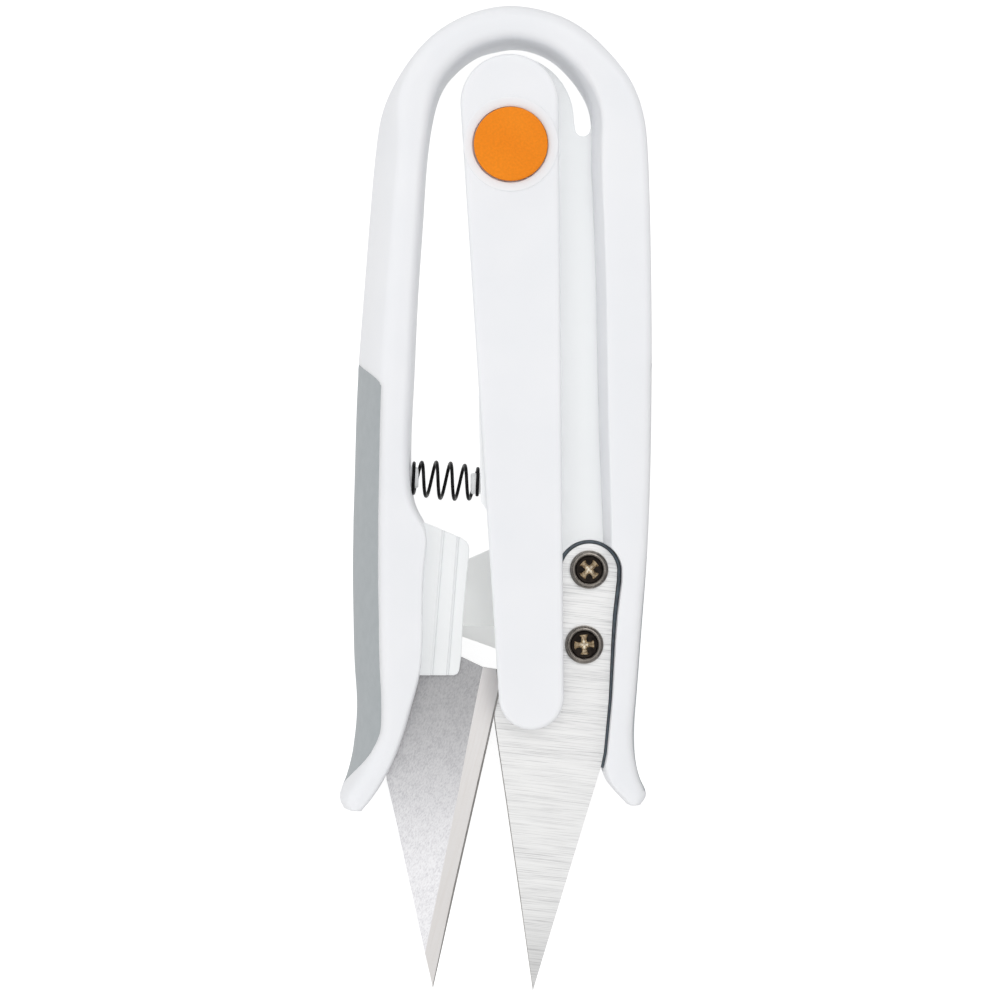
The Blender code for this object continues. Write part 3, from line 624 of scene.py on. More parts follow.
def ramp(tree, factor, stops):
    """A colour ramp through (place, colour) stops."""
    made = add(tree, "ValToRGB", {"Fac": factor})
    elements = made.color_ramp.elements
    while len(elements) < len(stops):
        elements.new(0.5)
    for element, (place, colour) in zip(elements, stops):
        element.position = place
        element.color = (*colour, 1.0)
    return made.outputs["Color"]


def spread(tree, factor, low, high):
    """The noise, which stays mostly between 0.3 and 0.7, spread from low to high."""
    inputs = {"Value": factor, "From Min": 0.3, "From Max": 0.7, "To Min": low, "To Max": high}
    return add(tree, "MapRange", inputs).outputs["Result"]


def bump(tree, height, distance, strength=1.0, normal=None):
    inputs = {"Height": height, "Distance": distance * MM, "Strength": strength}
    if normal:
        inputs["Normal"] = normal
    return add(tree, "Bump", inputs).outputs["Normal"]


def join(tree, shader, **sockets):
    """Links node outputs to the shader, or sets its sockets."""
    for key, value in sockets.items():
        socket = shader.inputs[key.replace("_", " ")]
        if isinstance(value, bpy.types.NodeSocket):
            tree.links.new(value, socket)
        else:
            socket.default_value = value


def shaded(tree, colour, shade):
    """The colour multiplied by a grey."""
    inputs = {"Red": shade, "Green": shade, "Blue": shade}
    grey = add(tree, "CombineColor", inputs).outputs["Color"]
    mix = add(tree, "Mix", data_type="RGBA", blend_type="MULTIPLY")
    mix.inputs["Factor"].default_value = 1.0
    tree.links.new(colour, mix.inputs["A"])
    tree.links.new(grey, mix.inputs["B"])
    return mix.outputs["Result"]


def plastic(name, low, high, roughness, grain, milky=(0.0, 1.0), speckle=0.0, shine=0.4, painted_glow=0.0):
    """Satin moulded plastic: a faint cloudy tone, a fine spark-eroded grain and uneven gloss.

    milky is the weight and depth of the light that soaks in. The emission strength given last is
    painted light: white emission that brightens the part, though it is no lamp.
    """
    made, tree, shader = new_material(name)
    plain = stretched(tree)
    cloud = noise(tree, plain, 90.0, 2.0)
    colour = ramp(tree, cloud, ((0.35, low), (0.65, high)))
    if speckle:
        fleck = noise(tree, plain, 3200.0, 2.0)
        colour = shaded(tree, colour, spread(tree, fleck, 1.0 - speckle, 1.0 + speckle))
    fine = noise(tree, plain, 5200.0, 3.0, 0.6)
    wave = noise(tree, plain, 160.0, 1.0)
    coarse = bump(tree, wave, 0.012)
    surface = bump(tree, fine, grain, 1.0, coarse)
    gloss = spread(tree, fine, roughness - 0.05, roughness + 0.07)
    join(tree, shader, Base_Color=colour, Roughness=gloss, Normal=surface)
    shader.inputs["Subsurface Weight"].default_value = milky[0]
    shader.inputs["Subsurface Radius"].default_value = (1.0, 1.0, 1.0)
    shader.inputs["Subsurface Scale"].default_value = milky[1] * MM
    shader.inputs["Specular IOR Level"].default_value = shine
    # Painted light: a white emission that makes the part brighter, though it is no lamp.
    shader.inputs["Emission Color"].default_value = (1.0, 1.0, 1.0, 1.0)
    shader.inputs["Emission Strength"].default_value = painted_glow
    return made


def soft_touch(name, low, high):
    """Matte over-moulded rubber with a pebbled skin."""
    made, tree, shader = new_material(name)
    plain = stretched(tree)
    inputs = {"Vector": plain, "Scale": 2600.0}
    cell = add(tree, "TexVoronoi", inputs, feature="F1").outputs["Distance"]
    fine = noise(tree, plain, 7000.0, 2.0)
    colour = ramp(tree, noise(tree, plain, 700.0, 4.0), ((0.3, low), (0.7, high)))
    surface = bump(tree, fine, 0.004, 1.0, bump(tree, cell, 0.012))
    join(tree, shader, Base_Color=colour, Roughness=spread(tree, fine, 0.68, 0.84), Normal=surface)
    shader.inputs["Sheen Weight"].default_value = 0.15
    shader.inputs["Sheen Roughness"].default_value = 0.5
    return made


def streaked_steel(name, stops, turn, long_scale, cross_scale, rough, depth, painted_shade=None):
    """Ground steel: fine lines along one direction, of uneven depth and tone.

    The last argument is painted shade: the two places (y) between which the tone falls off, and its
    share at the first, standing in for shadow and dimmer reflection.
    """
    made, tree, shader = new_material(name)
    fine_place = stretched(tree, turn, (long_scale, cross_scale, long_scale))
    lines = noise(tree, fine_place, 1.0, 4.0, 0.62)
    broad_place = stretched(tree, turn, (long_scale * 0.4, cross_scale * 0.12, 60.0))
    broad = noise(tree, broad_place, 1.0, 3.0)
    faint = add(tree, "Math", {0: broad, 1: 0.22}, operation="MULTIPLY").outputs["Value"]
    inputs = {0: lines, 1: 0.78, 2: faint}
    half = add(tree, "Math", inputs, operation="MULTIPLY_ADD").outputs["Value"]
    colour = ramp(tree, half, stops)
    # Painted shade: the colour darkens along y between the two places.
    if painted_shade:
        (start, end), darkest = painted_shade
        place = add(tree, "SeparateXYZ", {"Vector": stretched(tree)}).outputs["Y"]
        inputs = {"Value": place, "From Min": end * MM, "From Max": start * MM}
        inputs.update({"To Min": 1.0, "To Max": darkest})
        shade = add(tree, "MapRange", inputs, interpolation_type="SMOOTHSTEP").outputs["Result"]
        colour = shaded(tree, colour, shade)
    gloss = spread(tree, half, rough[1], rough[0])
    surface = bump(tree, lines, depth)
    join(tree, shader, Base_Color=colour, Metallic=1.0, Roughness=gloss, Normal=surface)
    return made


def metal(name, low, high, rough, scale=1500.0, depth=0.003):
    """Plated or turned metal with a faint uneven tone."""
    made, tree, shader = new_material(name)
    grain = noise(tree, stretched(tree), scale, 4.0)
    colour = ramp(tree, grain, ((0.35, low), (0.65, high)))
    gloss = spread(tree, grain, *rough)
    surface = bump(tree, grain, depth)
    join(tree, shader, Base_Color=colour, Metallic=1.0, Roughness=gloss, Normal=surface)
    return made


WHITE = plastic(
    "white_plastic", (0.855, 0.865, 0.89), (0.875, 0.882, 0.905), 0.42, 0.0035, milky=(0.4, 1.2),
)
# Painted light: the web, block and tray take lighter copies of the white plastic, with faint white
# emission, so that these deep-set, shaded parts come out brighter.
WEB_WHITE_PAINTED_LIGHT = plastic(
    "web_plastic_painted_light", (0.955, 0.97, 0.975), (0.965, 0.98, 0.985), 0.45, 0.004, painted_glow=0.07,
)
BLOCK_WHITE_PAINTED_LIGHT = plastic(
    "block_plastic_painted_light", (0.895, 0.91, 0.915), (0.91, 0.925, 0.93), 0.45, 0.004, painted_glow=0.02,
)
TRAY_WHITE_PAINTED_LIGHT = plastic(
    "tray_plastic_painted_light", (0.955, 0.965, 0.95), (0.97, 0.98, 0.965), 0.5, 0.004, painted_glow=0.1,
)
GRIP = soft_touch("grip_grey", (0.375, 0.405, 0.42), (0.405, 0.435, 0.45))
ORANGE = plastic(
    "orange_plastic", (0.86, 0.235, 0.006), (0.9, 0.262, 0.009), 0.5, 0.005,
    speckle=0.06, shine=0.15,
)
# Painted shade: the ground steel's tone darkens towards the blade's tip.
SILVER = streaked_steel(
    "ground_steel",
    (
        (0.34, (0.56, 0.56, 0.56)), (0.43, (0.78, 0.78, 0.78)),
        (0.5, (0.89, 0.89, 0.885)), (0.62, (0.96, 0.96, 0.955)),
    ),
    6.0, 140.0, 9500.0, (0.28, 0.42), 0.003, ((-68.0, -50.0), 0.72),
)
# Painted shade: the satin steel's tone darkens towards the blade's heel, under the step block.
SATIN = streaked_steel(
    "satin_steel",
    ((0.38, (0.75, 0.745, 0.77)), (0.5, (0.9, 0.895, 0.915)), (0.62, (0.99, 0.985, 1.0))),
    -65.0, 3000.0, 6500.0, (0.34, 0.5), 0.005, ((-22.0, -52.0), 0.46),
)
BEVEL = streaked_steel(
    "bevel_steel",
    ((0.3, (0.91, 0.88, 0.86)), (0.5, (0.94, 0.915, 0.9)), (0.7, (0.96, 0.94, 0.93))),
    -75.0, 120.0, 2500.0, (0.5, 0.6), 0.001,
)
HONED = metal("honed_edge", (0.34, 0.33, 0.32), (0.46, 0.44, 0.42), (0.3, 0.4))
GUNMETAL = metal("screw_steel", (0.21, 0.19, 0.17), (0.32, 0.29, 0.26), (0.18, 0.3))
DISH = metal("screw_dish", (0.012, 0.010, 0.009), (0.03, 0.024, 0.02), (0.3, 0.45))
BRASS = metal("screw_recess", (0.36, 0.29, 0.21), (0.95, 0.86, 0.7), (0.2, 0.4), 3000.0, 0.012)
SPRING = metal("spring_steel", (0.008, 0.008, 0.009), (0.02, 0.02, 0.021), (0.28, 0.42), 2600.0)
PIN = metal("pin_steel", (0.5, 0.5, 0.51), (0.62, 0.62, 0.63), (0.26, 0.38))
# Partly painted shade: the dark strip round the blades stands partly for a dark part there and
# partly for the shade in the narrow gap between blade and pocket wall.
LINER = metal("dark_liner", (0.075, 0.09, 0.105), (0.11, 0.14, 0.165), (0.4, 0.55))
LINER.node_tree.nodes["Principled BSDF"].inputs["Metallic"].default_value = 0.2


# ---------- the bow

def side_u(slant, z):
    """Depth of the bare outer side behind the outermost point, at a height."""
    share = z / HANDLE_H
    belly = 4.0 * share * (1.0 - share)
    square = max(1.0 - abs(slant) / SIDE_SLANT, 0.0)
    low, high = max(0.0, -slant), max(0.0, slant)
    rounded_off = (SIDE_BULGE + CROWN_BULGE * square) * (1.0 - belly) * square
    return low + (high - low) * share + rounded_off - SIDE_BULGE * belly * (1.0 - square)


def edge_u(slant, z):
    """Outer side with its rounded edges, at a height."""
    lift = min(max(z, 0.0), max(HANDLE_H - z, 0.0), OUTER_EDGE_R)
    return side_u(slant, z) + OUTER_EDGE_R - math.sqrt(OUTER_EDGE_R**2 - (OUTER_EDGE_R - lift) ** 2)


def slant_at(y, sign):
    """Slant of the outer side: full along the handle, none at the crown, little at the toe."""
    bow = 1.0 - smooth(*SLANT_BLEND_Y, y)
    toe = smooth(TOE_END_Y, TOE_START_Y, y)
    flare = between(LEFT_FLARE, y) if sign > 0 else 0.0
    return sign * bow * (TOE_SLANT + (SIDE_SLANT - TOE_SLANT) * toe) + flare


def bow_place(s):
    """Outer point, direction inwards, width and side (+1 left, -1 right) at a place on the bow."""
    ox, oy, ix, iy = (float(value) for value in BOW_AT(s))
    across = Vector((ix - ox, iy - oy))
    return Vector((ox, oy)), across.normalized(), across.length, 1.0 if ox < HINGE[0] else -1.0


def bow_ring(s):
    """One section: up the outer side, over the front and down the inner wall."""
    outer, inwards, width, sign = bow_place(s)
    most = 0.3 * width + max(width - 4.0, 0.0)
    slant = max(min(slant_at(outer.y, sign), most), -most)
    draft = min(between(LEFT_DRAFT if sign > 0 else RIGHT_DRAFT, outer.y), 0.15 * width)
    soft = min(between(LEFT_EDGE if sign > 0 else RIGHT_EDGE, outer.y), 0.25 * width)
    edge_r = min(OUTER_EDGE_R, 0.3 * width)
    wall_z = LOW_INNER_R if sign > 0 else RIGHT_WALL_Z
    foot_z = wall_z - (wall_z - LOW_INNER_R) * smooth(*CROWN_BLEND_Y, outer.y)
    turns = quarter(6)
    low = [(1.0 - math.sin(a), edge_r * (1.0 - math.cos(a))) for a in turns]
    high = [(inset, HANDLE_H - z) for inset, z in reversed(low)]
    waist = [(0.0, edge_r + (HANDLE_H - 2.0 * edge_r) * k / 8) for k in range(1, 8)]
    points = [(side_u(slant, z) + edge_r * inset, z) for inset, z in low + waist + high]
    front, depth = width - draft, min(TOP_INNER_DEPTH, 1.6 * soft)
    points += [
        (front - soft * (1.0 - math.sin(a)), HANDLE_H - depth * (1.0 - math.cos(a))) for a in turns
    ]
    top_z = HANDLE_H - depth
    points += [(front + draft * k / 4, top_z + (foot_z - top_z) * k / 4) for k in range(1, 5)]
    points += [(width, LOW_INNER_R * 0.8), (width - 0.15, 0.12), (width - LOW_INNER_R, 0.0)]
    return [(*(outer + inwards * u), z) for u, z in points]


def toe_rings(s, ahead):
    """Rings that round the toe off beyond its last section; ahead is a step into the handle."""
    ring = [Vector(point) for point in bow_ring(s)]
    inside = [Vector(point) for point in bow_ring(s + ahead)]
    middle = sum(ring, Vector()) / len(ring)
    heading = (middle - sum(inside, Vector()) / len(inside)).normalized()
    return [
        [middle + (point - middle) * share + heading * out for point in ring]
        for share, out in TOE_DOME
    ]


def place_of_y(y, sign):
    """Distance along the bow where its outer side reaches y on one handle, below the crown."""
    low, high = 1.5, BOW_LENGTH / 2 - 15.0
    if sign < 0:
        low, high = BOW_LENGTH - low, BOW_LENGTH - high
    for _ in range(40):
        middle = (low + high) / 2.0
        if bow_place(middle)[0].y < y:
            low = middle
        else:
            high = middle
    return low


def pad_share(y):
    """Share of the side's height that the pad covers: round at the top, a long taper at the toe."""
    top = min(max((PAD_TOP_Y[1] - y) / (PAD_TOP_Y[1] - PAD_TOP_Y[0]), 0.0), 1.0)
    down = min(max((PAD_TOE_Y[0] - y) / (PAD_TOE_Y[0] - PAD_TOE_Y[1]), 0.0), 1.0)
    return (1.0 - (1.0 - top) ** PAD_TOP_POWER) * (1.0 - down**PAD_TOE_POWER)


def grip_pad(name, sign, grow=0.0, materials=()):
    """The skin let into the outer side. A grown copy cuts its recess."""
    first = place_of_y(PAD_TOE_Y[1] + PAD_TRIM[0], sign)
    last = place_of_y(PAD_TOP_Y[1] - PAD_TRIM[1], sign)
    places = [first + (last - first) * k / PAD_STEPS for k in range(PAD_STEPS + 1)]
    if grow:
        along = math.copysign(2.0 * grow, last - first)
        places = [first - along] + places + [last + along]
    rings = []
    for place in places:
        outer, inwards, _, _ = bow_place(place)
        slant = slant_at(outer.y, sign)
        inside = min(max(place, min(first, last)), max(first, last))
        share = pad_share(bow_place(inside)[0].y)
        reach = max(share * (HANDLE_H - 2.0 * PAD_Z_MARGIN), PAD_LEAST_Z)
        low = PAD_Z_MARGIN if sign > 0 else HANDLE_H - PAD_Z_MARGIN - reach
        levels = [low - grow + (reach + 2.0 * grow) * n / PAD_LEVELS for n in range(PAD_LEVELS + 1)]
        skin = [(edge_u(slant, z) - CUTTER_OUT * grow, z) for z in levels]
        back = [(side_u(slant, z) + PAD_T + grow, z) for z in reversed(levels)]
        rings.append([(*(outer + inwards * u), z) for u, z in skin + back])
    return lofted(name, rings, materials)


def blade_outline(shape, side):
    """Closed outline of a blade: round tang, heel, cutting edge to the tip, and back."""
    tang, back, heel, edge, grind = shape
    sweep = (0.0, 180.0) if side > 0 else (180.0, 0.0)
    top = arc(*tang, TANG_R, *sweep, TANG_STEPS)[1:]
    return top + list(heel) + [grind[0]] + list(edge) + [grind[-1]] + list(reversed(back))


def pocket_gap(y):
    return between(POCKET_GAPS, y)


def pocket(shape, side, low, high):
    """Cutter of the pocket that a blade's tang lies in."""
    return plate("pocket", offset(blade_outline(shape, side), pocket_gap), low, high)


def make_bow():
    start, length = TOE_TRIM, BOW_LENGTH - 2.0 * TOE_TRIM
    steps = int(length / RING_STEP)
    rings = toe_rings(start, 0.5)
    rings += [bow_ring(start + length * k / steps) for k in range(steps + 1)]
    rings += reversed(toe_rings(start + length, -0.5))
    bow = lofted("bow_handles", rings, [WHITE])
    cuts = [
        pocket(FIXED_BLADE, 1, POCKET_FLOOR_Z, FAR),
        pocket(MOVING_BLADE, -1, -FAR, MOVING_POCKET_ROOF_Z),
        grip_pad("recess", 1.0, PAD_GAP),
        grip_pad("recess", -1.0, PAD_GAP),
    ]
    combine(bow, cuts, "DIFFERENCE")
    smoothed(bow)
    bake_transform(bow)
    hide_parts("fixed_arm", "moving_arm")


def make_pads():
    for sign, side in ((1.0, "moving"), (-1.0, "fixed")):
        pad = grip_pad(f"{side}_grip", sign, 0.0, [GRIP])
        soften(pad, 0.1, 2, 50.0)
        finish_piece(pad, f"{side}_side", "grip_grey", f"{side}_grip_pad")


# ---------- web and step block

def panel_outline():
    """The flat web of the fixed side, hidden along its left under the guide bar."""
    hx, hy, hr = BAR_HEAD
    slope = (hx - hr - (BAR_FOOT[0] - BAR_FOOT[2])) / (hy - BAR_FOOT[1])

    def left(y):
        return hx - hr + PANEL_INSET - (hy - y) * slope

    slot = arc(*SLOT_END, 0.0, -180.0, 20)
    head = arc(*PANEL_HEAD, 0.0, 74.0, 40)
    hidden = arc(hx, hy, hr - 0.9, 92.0, 180.0, 20)
    side = [(left(y), y) for y in (44.0, 12.0, -2.0, -19.9)]
    foot = [(6.0, -28.6), (13.0, -34.6), (14.9, -33.0)]
    rim = [(15.0, -20.0), (15.2, 0.0), (14.6, 40.0), (14.6, SLOT_END[1] + 0.3)]
    return slot + head + hidden + side + foot + rim


def cylinder(r, low, high):
    return [(0.0, low), (r, low), (r, high), (0.0, high)]


def mould_marks():
    """Shallow ejector marks in the face of the web: a round one and a rounded square."""
    x, y, r = ROUND_MARK
    disc = turned("mark", cylinder(r, PANEL_Z[1] - MARK_DEPTH, FAR), (x, y), (), 48)
    x, y, half_x, half_y = SQUARE_MARK
    outline = []
    for turn, (right, up) in zip((0.0, 90.0, 180.0, 270.0), ((1, 1), (-1, 1), (-1, -1), (1, -1))):
        outline += arc(x + right * half_x, y + up * half_y, MARK_CORNER_R, turn, turn + 90.0, 6)
    return [disc, plate("mark", outline, PANEL_Z[1] - MARK_DEPTH, FAR)]


def make_tray():
    """The thin tray that the stop hook runs in, with its lip and raised rim."""
    # Painted light: the tray takes the lighter, emissive copy of the white plastic.
    tray = slab("fixed_tray", list(TRAY_OUTLINE), *TRAY_Z, 0.12, 0.12, [TRAY_WHITE_PAINTED_LIGHT])
    wall = slab("wall", list(TRAY_OUTLINE), TRAY_Z[0] + 0.1, TRAY_LIP_Z, 0.1, 0.15)
    above_rim = box("above_rim", (-FAR, -FAR - 10.0, RIM_TOP_Z), (FAR, TRAY_Y[0], FAR))
    inside = box("inside", (TRAY_X[0] + LIP_T, TRAY_Y[0], TRAY_Z[1]), (FAR, 0.0, FAR))
    combine(wall, [above_rim, inside], "DIFFERENCE")
    combine(tray, [wall], "UNION")
    soften(tray, 0.1, 2, 50.0)
    finish_piece(tray, "fixed_side", "white_plastic")


def make_peg(side, place, root, out):
    """The peg inside one end of the spring; root is +1 or -1, towards the peg's root along X."""
    x, y, z = place
    start, end = (x + root * PEG_IN, y, z), (x - root * out, y, z)
    peg = rod(f"{side}_spring_peg", start, end, PEG_R, PEG_EDGE_R)
    # Painted light: the peg takes the lighter, emissive copy of the white plastic.
    peg.data.materials.append(WEB_WHITE_PAINTED_LIGHT)
    finish_piece(peg, f"{side}_side", "white_plastic")


def make_web():
    # Painted light: the web takes the lighter, emissive copy of the white plastic.
    web = slab("fixed_web", panel_outline(), *PANEL_Z, 0.2, 0.25, [WEB_WHITE_PAINTED_LIGHT])
    window = box("window", (-5.0, TRAY_Y[0], TRAY_Z[1]), (TRAY_X[1], TRAY_Y[1], FAR))
    combine(web, [window], "DIFFERENCE")
    boss = turned("boss", cylinder(BOSS_R, PANEL_Z[0] + 1.0, BOSS_TOP_Z), PIVOT)
    seat = slab("seat", list(SEAT_OUTLINE), 1.0, SEAT_TOP_Z, 0.15, 0.2)
    combine(web, [boss, seat], "UNION")
    make_tray()
    combine(web, [pocket(FIXED_BLADE, 1, POCKET_FLOOR_Z, FAR)], "DIFFERENCE")
    bore = turned("bore", cylinder(PIN_R + 0.1, -1.0, FAR), PIVOT)
    combine(web, [bore], "DIFFERENCE")
    combine(web, mould_marks(), "DIFFERENCE")
    smoothed(web)
    finish_piece(web, "fixed_side", "white_plastic")
    make_peg("fixed", SPRING_ENDS[1], 1.0, PEG_OUT[1])


def make_block():
    roof_z, top_z = MOVING_POCKET_ROOF_Z, HANDLE_H - 0.1
    # Painted light: the block takes the lighter, emissive copy of the white plastic.
    block = plate("moving_block", list(BLOCK_OUTLINE), roof_z, top_z, [BLOCK_WHITE_PAINTED_LIGHT])
    for height, (ax, ay), (bx, by) in BLOCK_STEPS:
        along = Vector((bx - ax, by - ay)).normalized() * FAR
        upper, lower = (ax - along.x, ay - along.y), (bx + along.x, by + along.y)
        outline = [upper, lower, (lower[0] + FAR, lower[1]), (upper[0] + FAR, upper[1])]
        combine(block, [plate("step", outline, height, FAR)], "DIFFERENCE")
        if height < BLOCK_STEPS[0][0]:
            foot = [upper, lower, (lower[0] + GROOVE_W, lower[1]), (upper[0] + GROOVE_W, upper[1])]
            combine(block, [plate("groove", foot, height - GROOVE_DEPTH, FAR)], "DIFFERENCE")
    soften(block, 0.13, 3, 30.0)
    finish_piece(block, "moving_side", "white_plastic")
    corner = (HOOK_X[1], HOOK_Y[1], HOOK_Z[1])
    finger = box("stop_hook", (HOOK_ROOT_X, HOOK_Y[0], HOOK_Z[0]), corner)
    tip = box("tip", (HOOK_X[0], HOOK_Y[0], HOOK_TIP_Z), corner)
    combine(finger, [tip], "UNION")
    # Painted light: the stop hook takes the lighter, emissive copy of the white plastic.
    finger.data.materials.append(WEB_WHITE_PAINTED_LIGHT)
    soften(finger, 0.15, 3, 40.0)
    finish_piece(finger, "moving_side", "white_plastic")
    make_peg("moving", SPRING_ENDS[0], -1.0, PEG_OUT[0])


# ---------- blades, liners and screws

def make_blade(name, node, body, shape, side, plain, ground, screws, materials):
    """A ground blade: flat face, wide bevel, honed strip along the edge and eased outline."""
    outline = blade_outline(shape, side)
    edge, grind = list(shape[3]), list(shape[4])
    up = math.copysign(1.0, ground - plain)
    honed, backed = [], []
    for point, inner in zip(edge, grind):
        across = Vector(inner) - Vector(point)
        across, reach = across.normalized(), across.length
        honed.append(tuple(Vector(point) + across * min(HONED_W, reach * 0.5)))
        backed.append(tuple(Vector(point) + across * BACKED_W))
    data = bmesh.new()
    flat = {point: data.verts.new((*point, plain)) for point in outline if point not in edge}
    flat.update(zip(edge, (data.verts.new((*point, plain)) for point in backed)))
    top = {point: data.verts.new((*point, ground)) for point in outline if point not in edge}
    top.update({point: data.verts.new((*point, ground)) for point in grind[1:-1]})
    low = {point: data.verts.new((*point, plain + up * EDGE_T)) for point in edge}
    mid = {point: data.verts.new((*point, plain + up * HONED_T)) for point in honed}
    first, last = outline.index(grind[0]), outline.index(grind[-1])
    data.faces.new([flat[p] for p in outline])
    data.faces.new([top[p] for p in outline[last:] + outline[: first + 1] + grind[1:-1]])
    for k in range(len(grind) - 1):
        n = k + 1
        wide = data.faces.new([top[grind[k]], mid[honed[k]], mid[honed[n]], top[grind[n]]])
        wide.material_index = 1
        fine = data.faces.new([mid[honed[k]], low[edge[k]], low[edge[n]], mid[honed[n]]])
        fine.material_index = 2
        thin = data.faces.new([flat[edge[k]], flat[edge[n]], low[edge[n]], low[edge[k]]])
        thin.material_index = 2
    for k in (0, -1):
        data.faces.new([flat[grind[k]], flat[edge[k]], low[edge[k]], mid[honed[k]], top[grind[k]]])
    rim = []
    body_points = outline[last:] + outline[: first + 1]
    for a, b in zip(body_points, body_points[1:]):
        data.faces.new([flat[a], flat[b], top[b], top[a]])
        rim += [data.edges.get((flat[a], flat[b])), data.edges.get((top[a], top[b]))]
    bmesh.ops.recalc_face_normals(data, faces=data.faces)
    bmesh.ops.bevel(
        data, geom=rim, offset=BLADE_EDGE_R, segments=2, profile=0.5, affect="EDGES",
        clamp_overlap=True,
    )
    blade = new_object(name, data, materials, 20.0)
    hole = cylinder(SHANK_R + SCREW_HOLE_GAP, 0.0, FAR)
    holes = [turned("hole", hole, (x, y), (), 40) for x, y, _ in screws.values()]
    combine(blade, holes, "DIFFERENCE")
    blade.data.set_sharp_from_angle(angle=math.radians(20.0))
    finish_piece(blade, body, "blade_steel", node)


def make_liner(name, node, body, shape, side, low, high, back_rows):
    """The dark strip between a blade and the wall of its pocket, with a rounded top. Its dark
    colour is partly a dark part and partly painted shade of the narrow gap.
    """
    tang, back, heel = shape[0], list(shape[1])[:back_rows], shape[2]
    sweep = (180.0, 12.0) if side > 0 else (0.0, 168.0)
    path = [(tang[0] - side * TANG_R, heel[0][1] + 3.0)] + arc(*tang, TANG_R, *sweep, 48) + back
    rings = []
    for before, at, after in zip([path[0]] + path, path, path[1:] + [path[-1]]):
        along = Vector((after[0] - before[0], after[1] - before[1])).normalized()
        normal = Vector((-along.y, along.x)) * side
        width = pocket_gap(at[1]) - 2.0 * LINER_GAP
        r = width * 0.42
        profile = [(0.0, low), (width, low), (width, high - r)]
        rim = [(r * (1 - math.cos(a)), high - r * (1 - math.sin(a))) for a in (0.0, 0.8, 1.57)]
        profile += [(width - inset, z) for inset, z in rim[1:]] + rim[::-1]
        rings.append([(*(Vector(at) + normal * (LINER_GAP + w)), z) for w, z in profile])
    finish_piece(lofted(name, rings, [LINER]), body, "dark_liner", node)


def cross_outline(arm, width, flare):
    """A four-armed cross with slightly flared, blunt arms."""
    tip = [(arm * 0.72, width * 1.05), (arm * 0.95, flare), (arm, flare * 0.6)]
    one = [(x, -y) for x, y in tip] + [(x, y) for x, y in reversed(tip)] + [(width, width)]
    turns = [Matrix.Rotation(math.pi / 2.0 * quarter, 2) for quarter in range(4)]
    return [tuple(turn @ Vector(point)) for turn in turns for point in one]


def make_screw(name, node, body, place, base, up):
    """Pan-head screw: eased rim, stepped ring, black dish and a flared cross recess."""
    x, y, turn = place
    end = -SHANK_LENGTH
    shank = [(0.0, end), (SHANK_TIP, end), (SHANK_R, end + SHANK_TIP)]
    profile = shank + rounded(HEAD_PROFILE, HEAD_ROUNDING, 5)
    slots = [0 if r > DISH_R or z < HEAD_H * 0.4 else 1 for r, z in profile[1:]]
    levels = [(r, base + up * z) for r, z in profile]
    made = turned(name, levels, (x, y), [GUNMETAL, DISH, BRASS], 96, slots)
    turning = Matrix.Rotation(math.radians(turn), 2)
    rings = []
    for length, half, flare, z in CROSS:
        ring = [turning @ Vector(p) for p in cross_outline(length, half, flare)]
        rings.append([(p.x + x, p.y + y, base + up * z) for p in ring])
    cutter = lofted("cross", rings if up < 0 else rings[::-1], [BRASS])
    modifier = made.modifiers.new("cross", "BOOLEAN")
    modifier.operation = "DIFFERENCE"
    modifier.solver = "EXACT"
    modifier.material_mode = "TRANSFER"
    modifier.object = cutter
    applied(made)
    bpy.data.objects.remove(cutter)
    made.data.set_sharp_from_angle(angle=math.radians(28.0))
    finish_piece(made, body, "screw_steel", node)


def make_blades():
    make_blade(
        "lower_blade", "fixed_blade", "fixed_side", FIXED_BLADE, 1,
        FIXED_BLADE_Z[1], FIXED_BLADE_Z[0], FIXED_SCREWS, [SILVER, BEVEL, HONED],
    )
    make_blade(
        "upper_blade", "moving_blade", "moving_side", MOVING_BLADE, -1,
        MOVING_BLADE_Z[0], MOVING_BLADE_Z[1], MOVING_SCREWS, [SATIN, BEVEL, HONED],
    )
    fixed_z, moving_z = heights("fixed_blade_liner"), heights("moving_blade_liner")
    make_liner("lower_liner", "fixed_blade_liner", "fixed_side", FIXED_BLADE, 1, *fixed_z, 6)
    make_liner("upper_liner", "moving_blade_liner", "moving_side", MOVING_BLADE, -1, *moving_z, 3)
    for level, side, screws, base, up in (
        ("lower", "fixed", FIXED_SCREWS, FIXED_BLADE_Z[1] + SCREW_GAP, 1.0),
        ("upper", "moving", MOVING_SCREWS, MOVING_BLADE_Z[0] - SCREW_GAP, -1.0),
    ):
        for where, place in screws.items():
            name, node = f"{level}_screw_{where}", f"{side}_blade_screw_{where}"
            make_screw(name, node, f"{side}_side", place, base, up)


# ---------- guide bar and pivot

def bar_rays():
    """Outline of the bar as rays: centre x and y, direction, and radius."""
    side_steps, head_steps, foot_steps = BAR_STEPS
    (hx, hy, hr), (fx, fy, fr) = BAR_HEAD, BAR_FOOT
    length = math.hypot(fx - hx, fy - hy)
    heading = math.atan2(fy - hy, fx - hx)
    lean = math.acos((hr - fr) / length)
    rays = []
    for k in range(head_steps + 1):
        turn = (2.0 * math.pi - 2.0 * lean) * k / head_steps
        rays.append((hx, hy, heading + lean + turn, hr))
    along = [k / side_steps for k in range(1, side_steps)]
    down = [tuple(a + (b - a) * t for a, b in zip(BAR_HEAD, BAR_FOOT)) for t in along]
    rays += [(x, y, heading - lean, r) for x, y, r in down]
    for k in range(foot_steps + 1):
        rays.append((fx, fy, heading - lean + 2.0 * lean * k / foot_steps, fr))
    return rays + [(x, y, heading + lean, r) for x, y, r in reversed(down)]


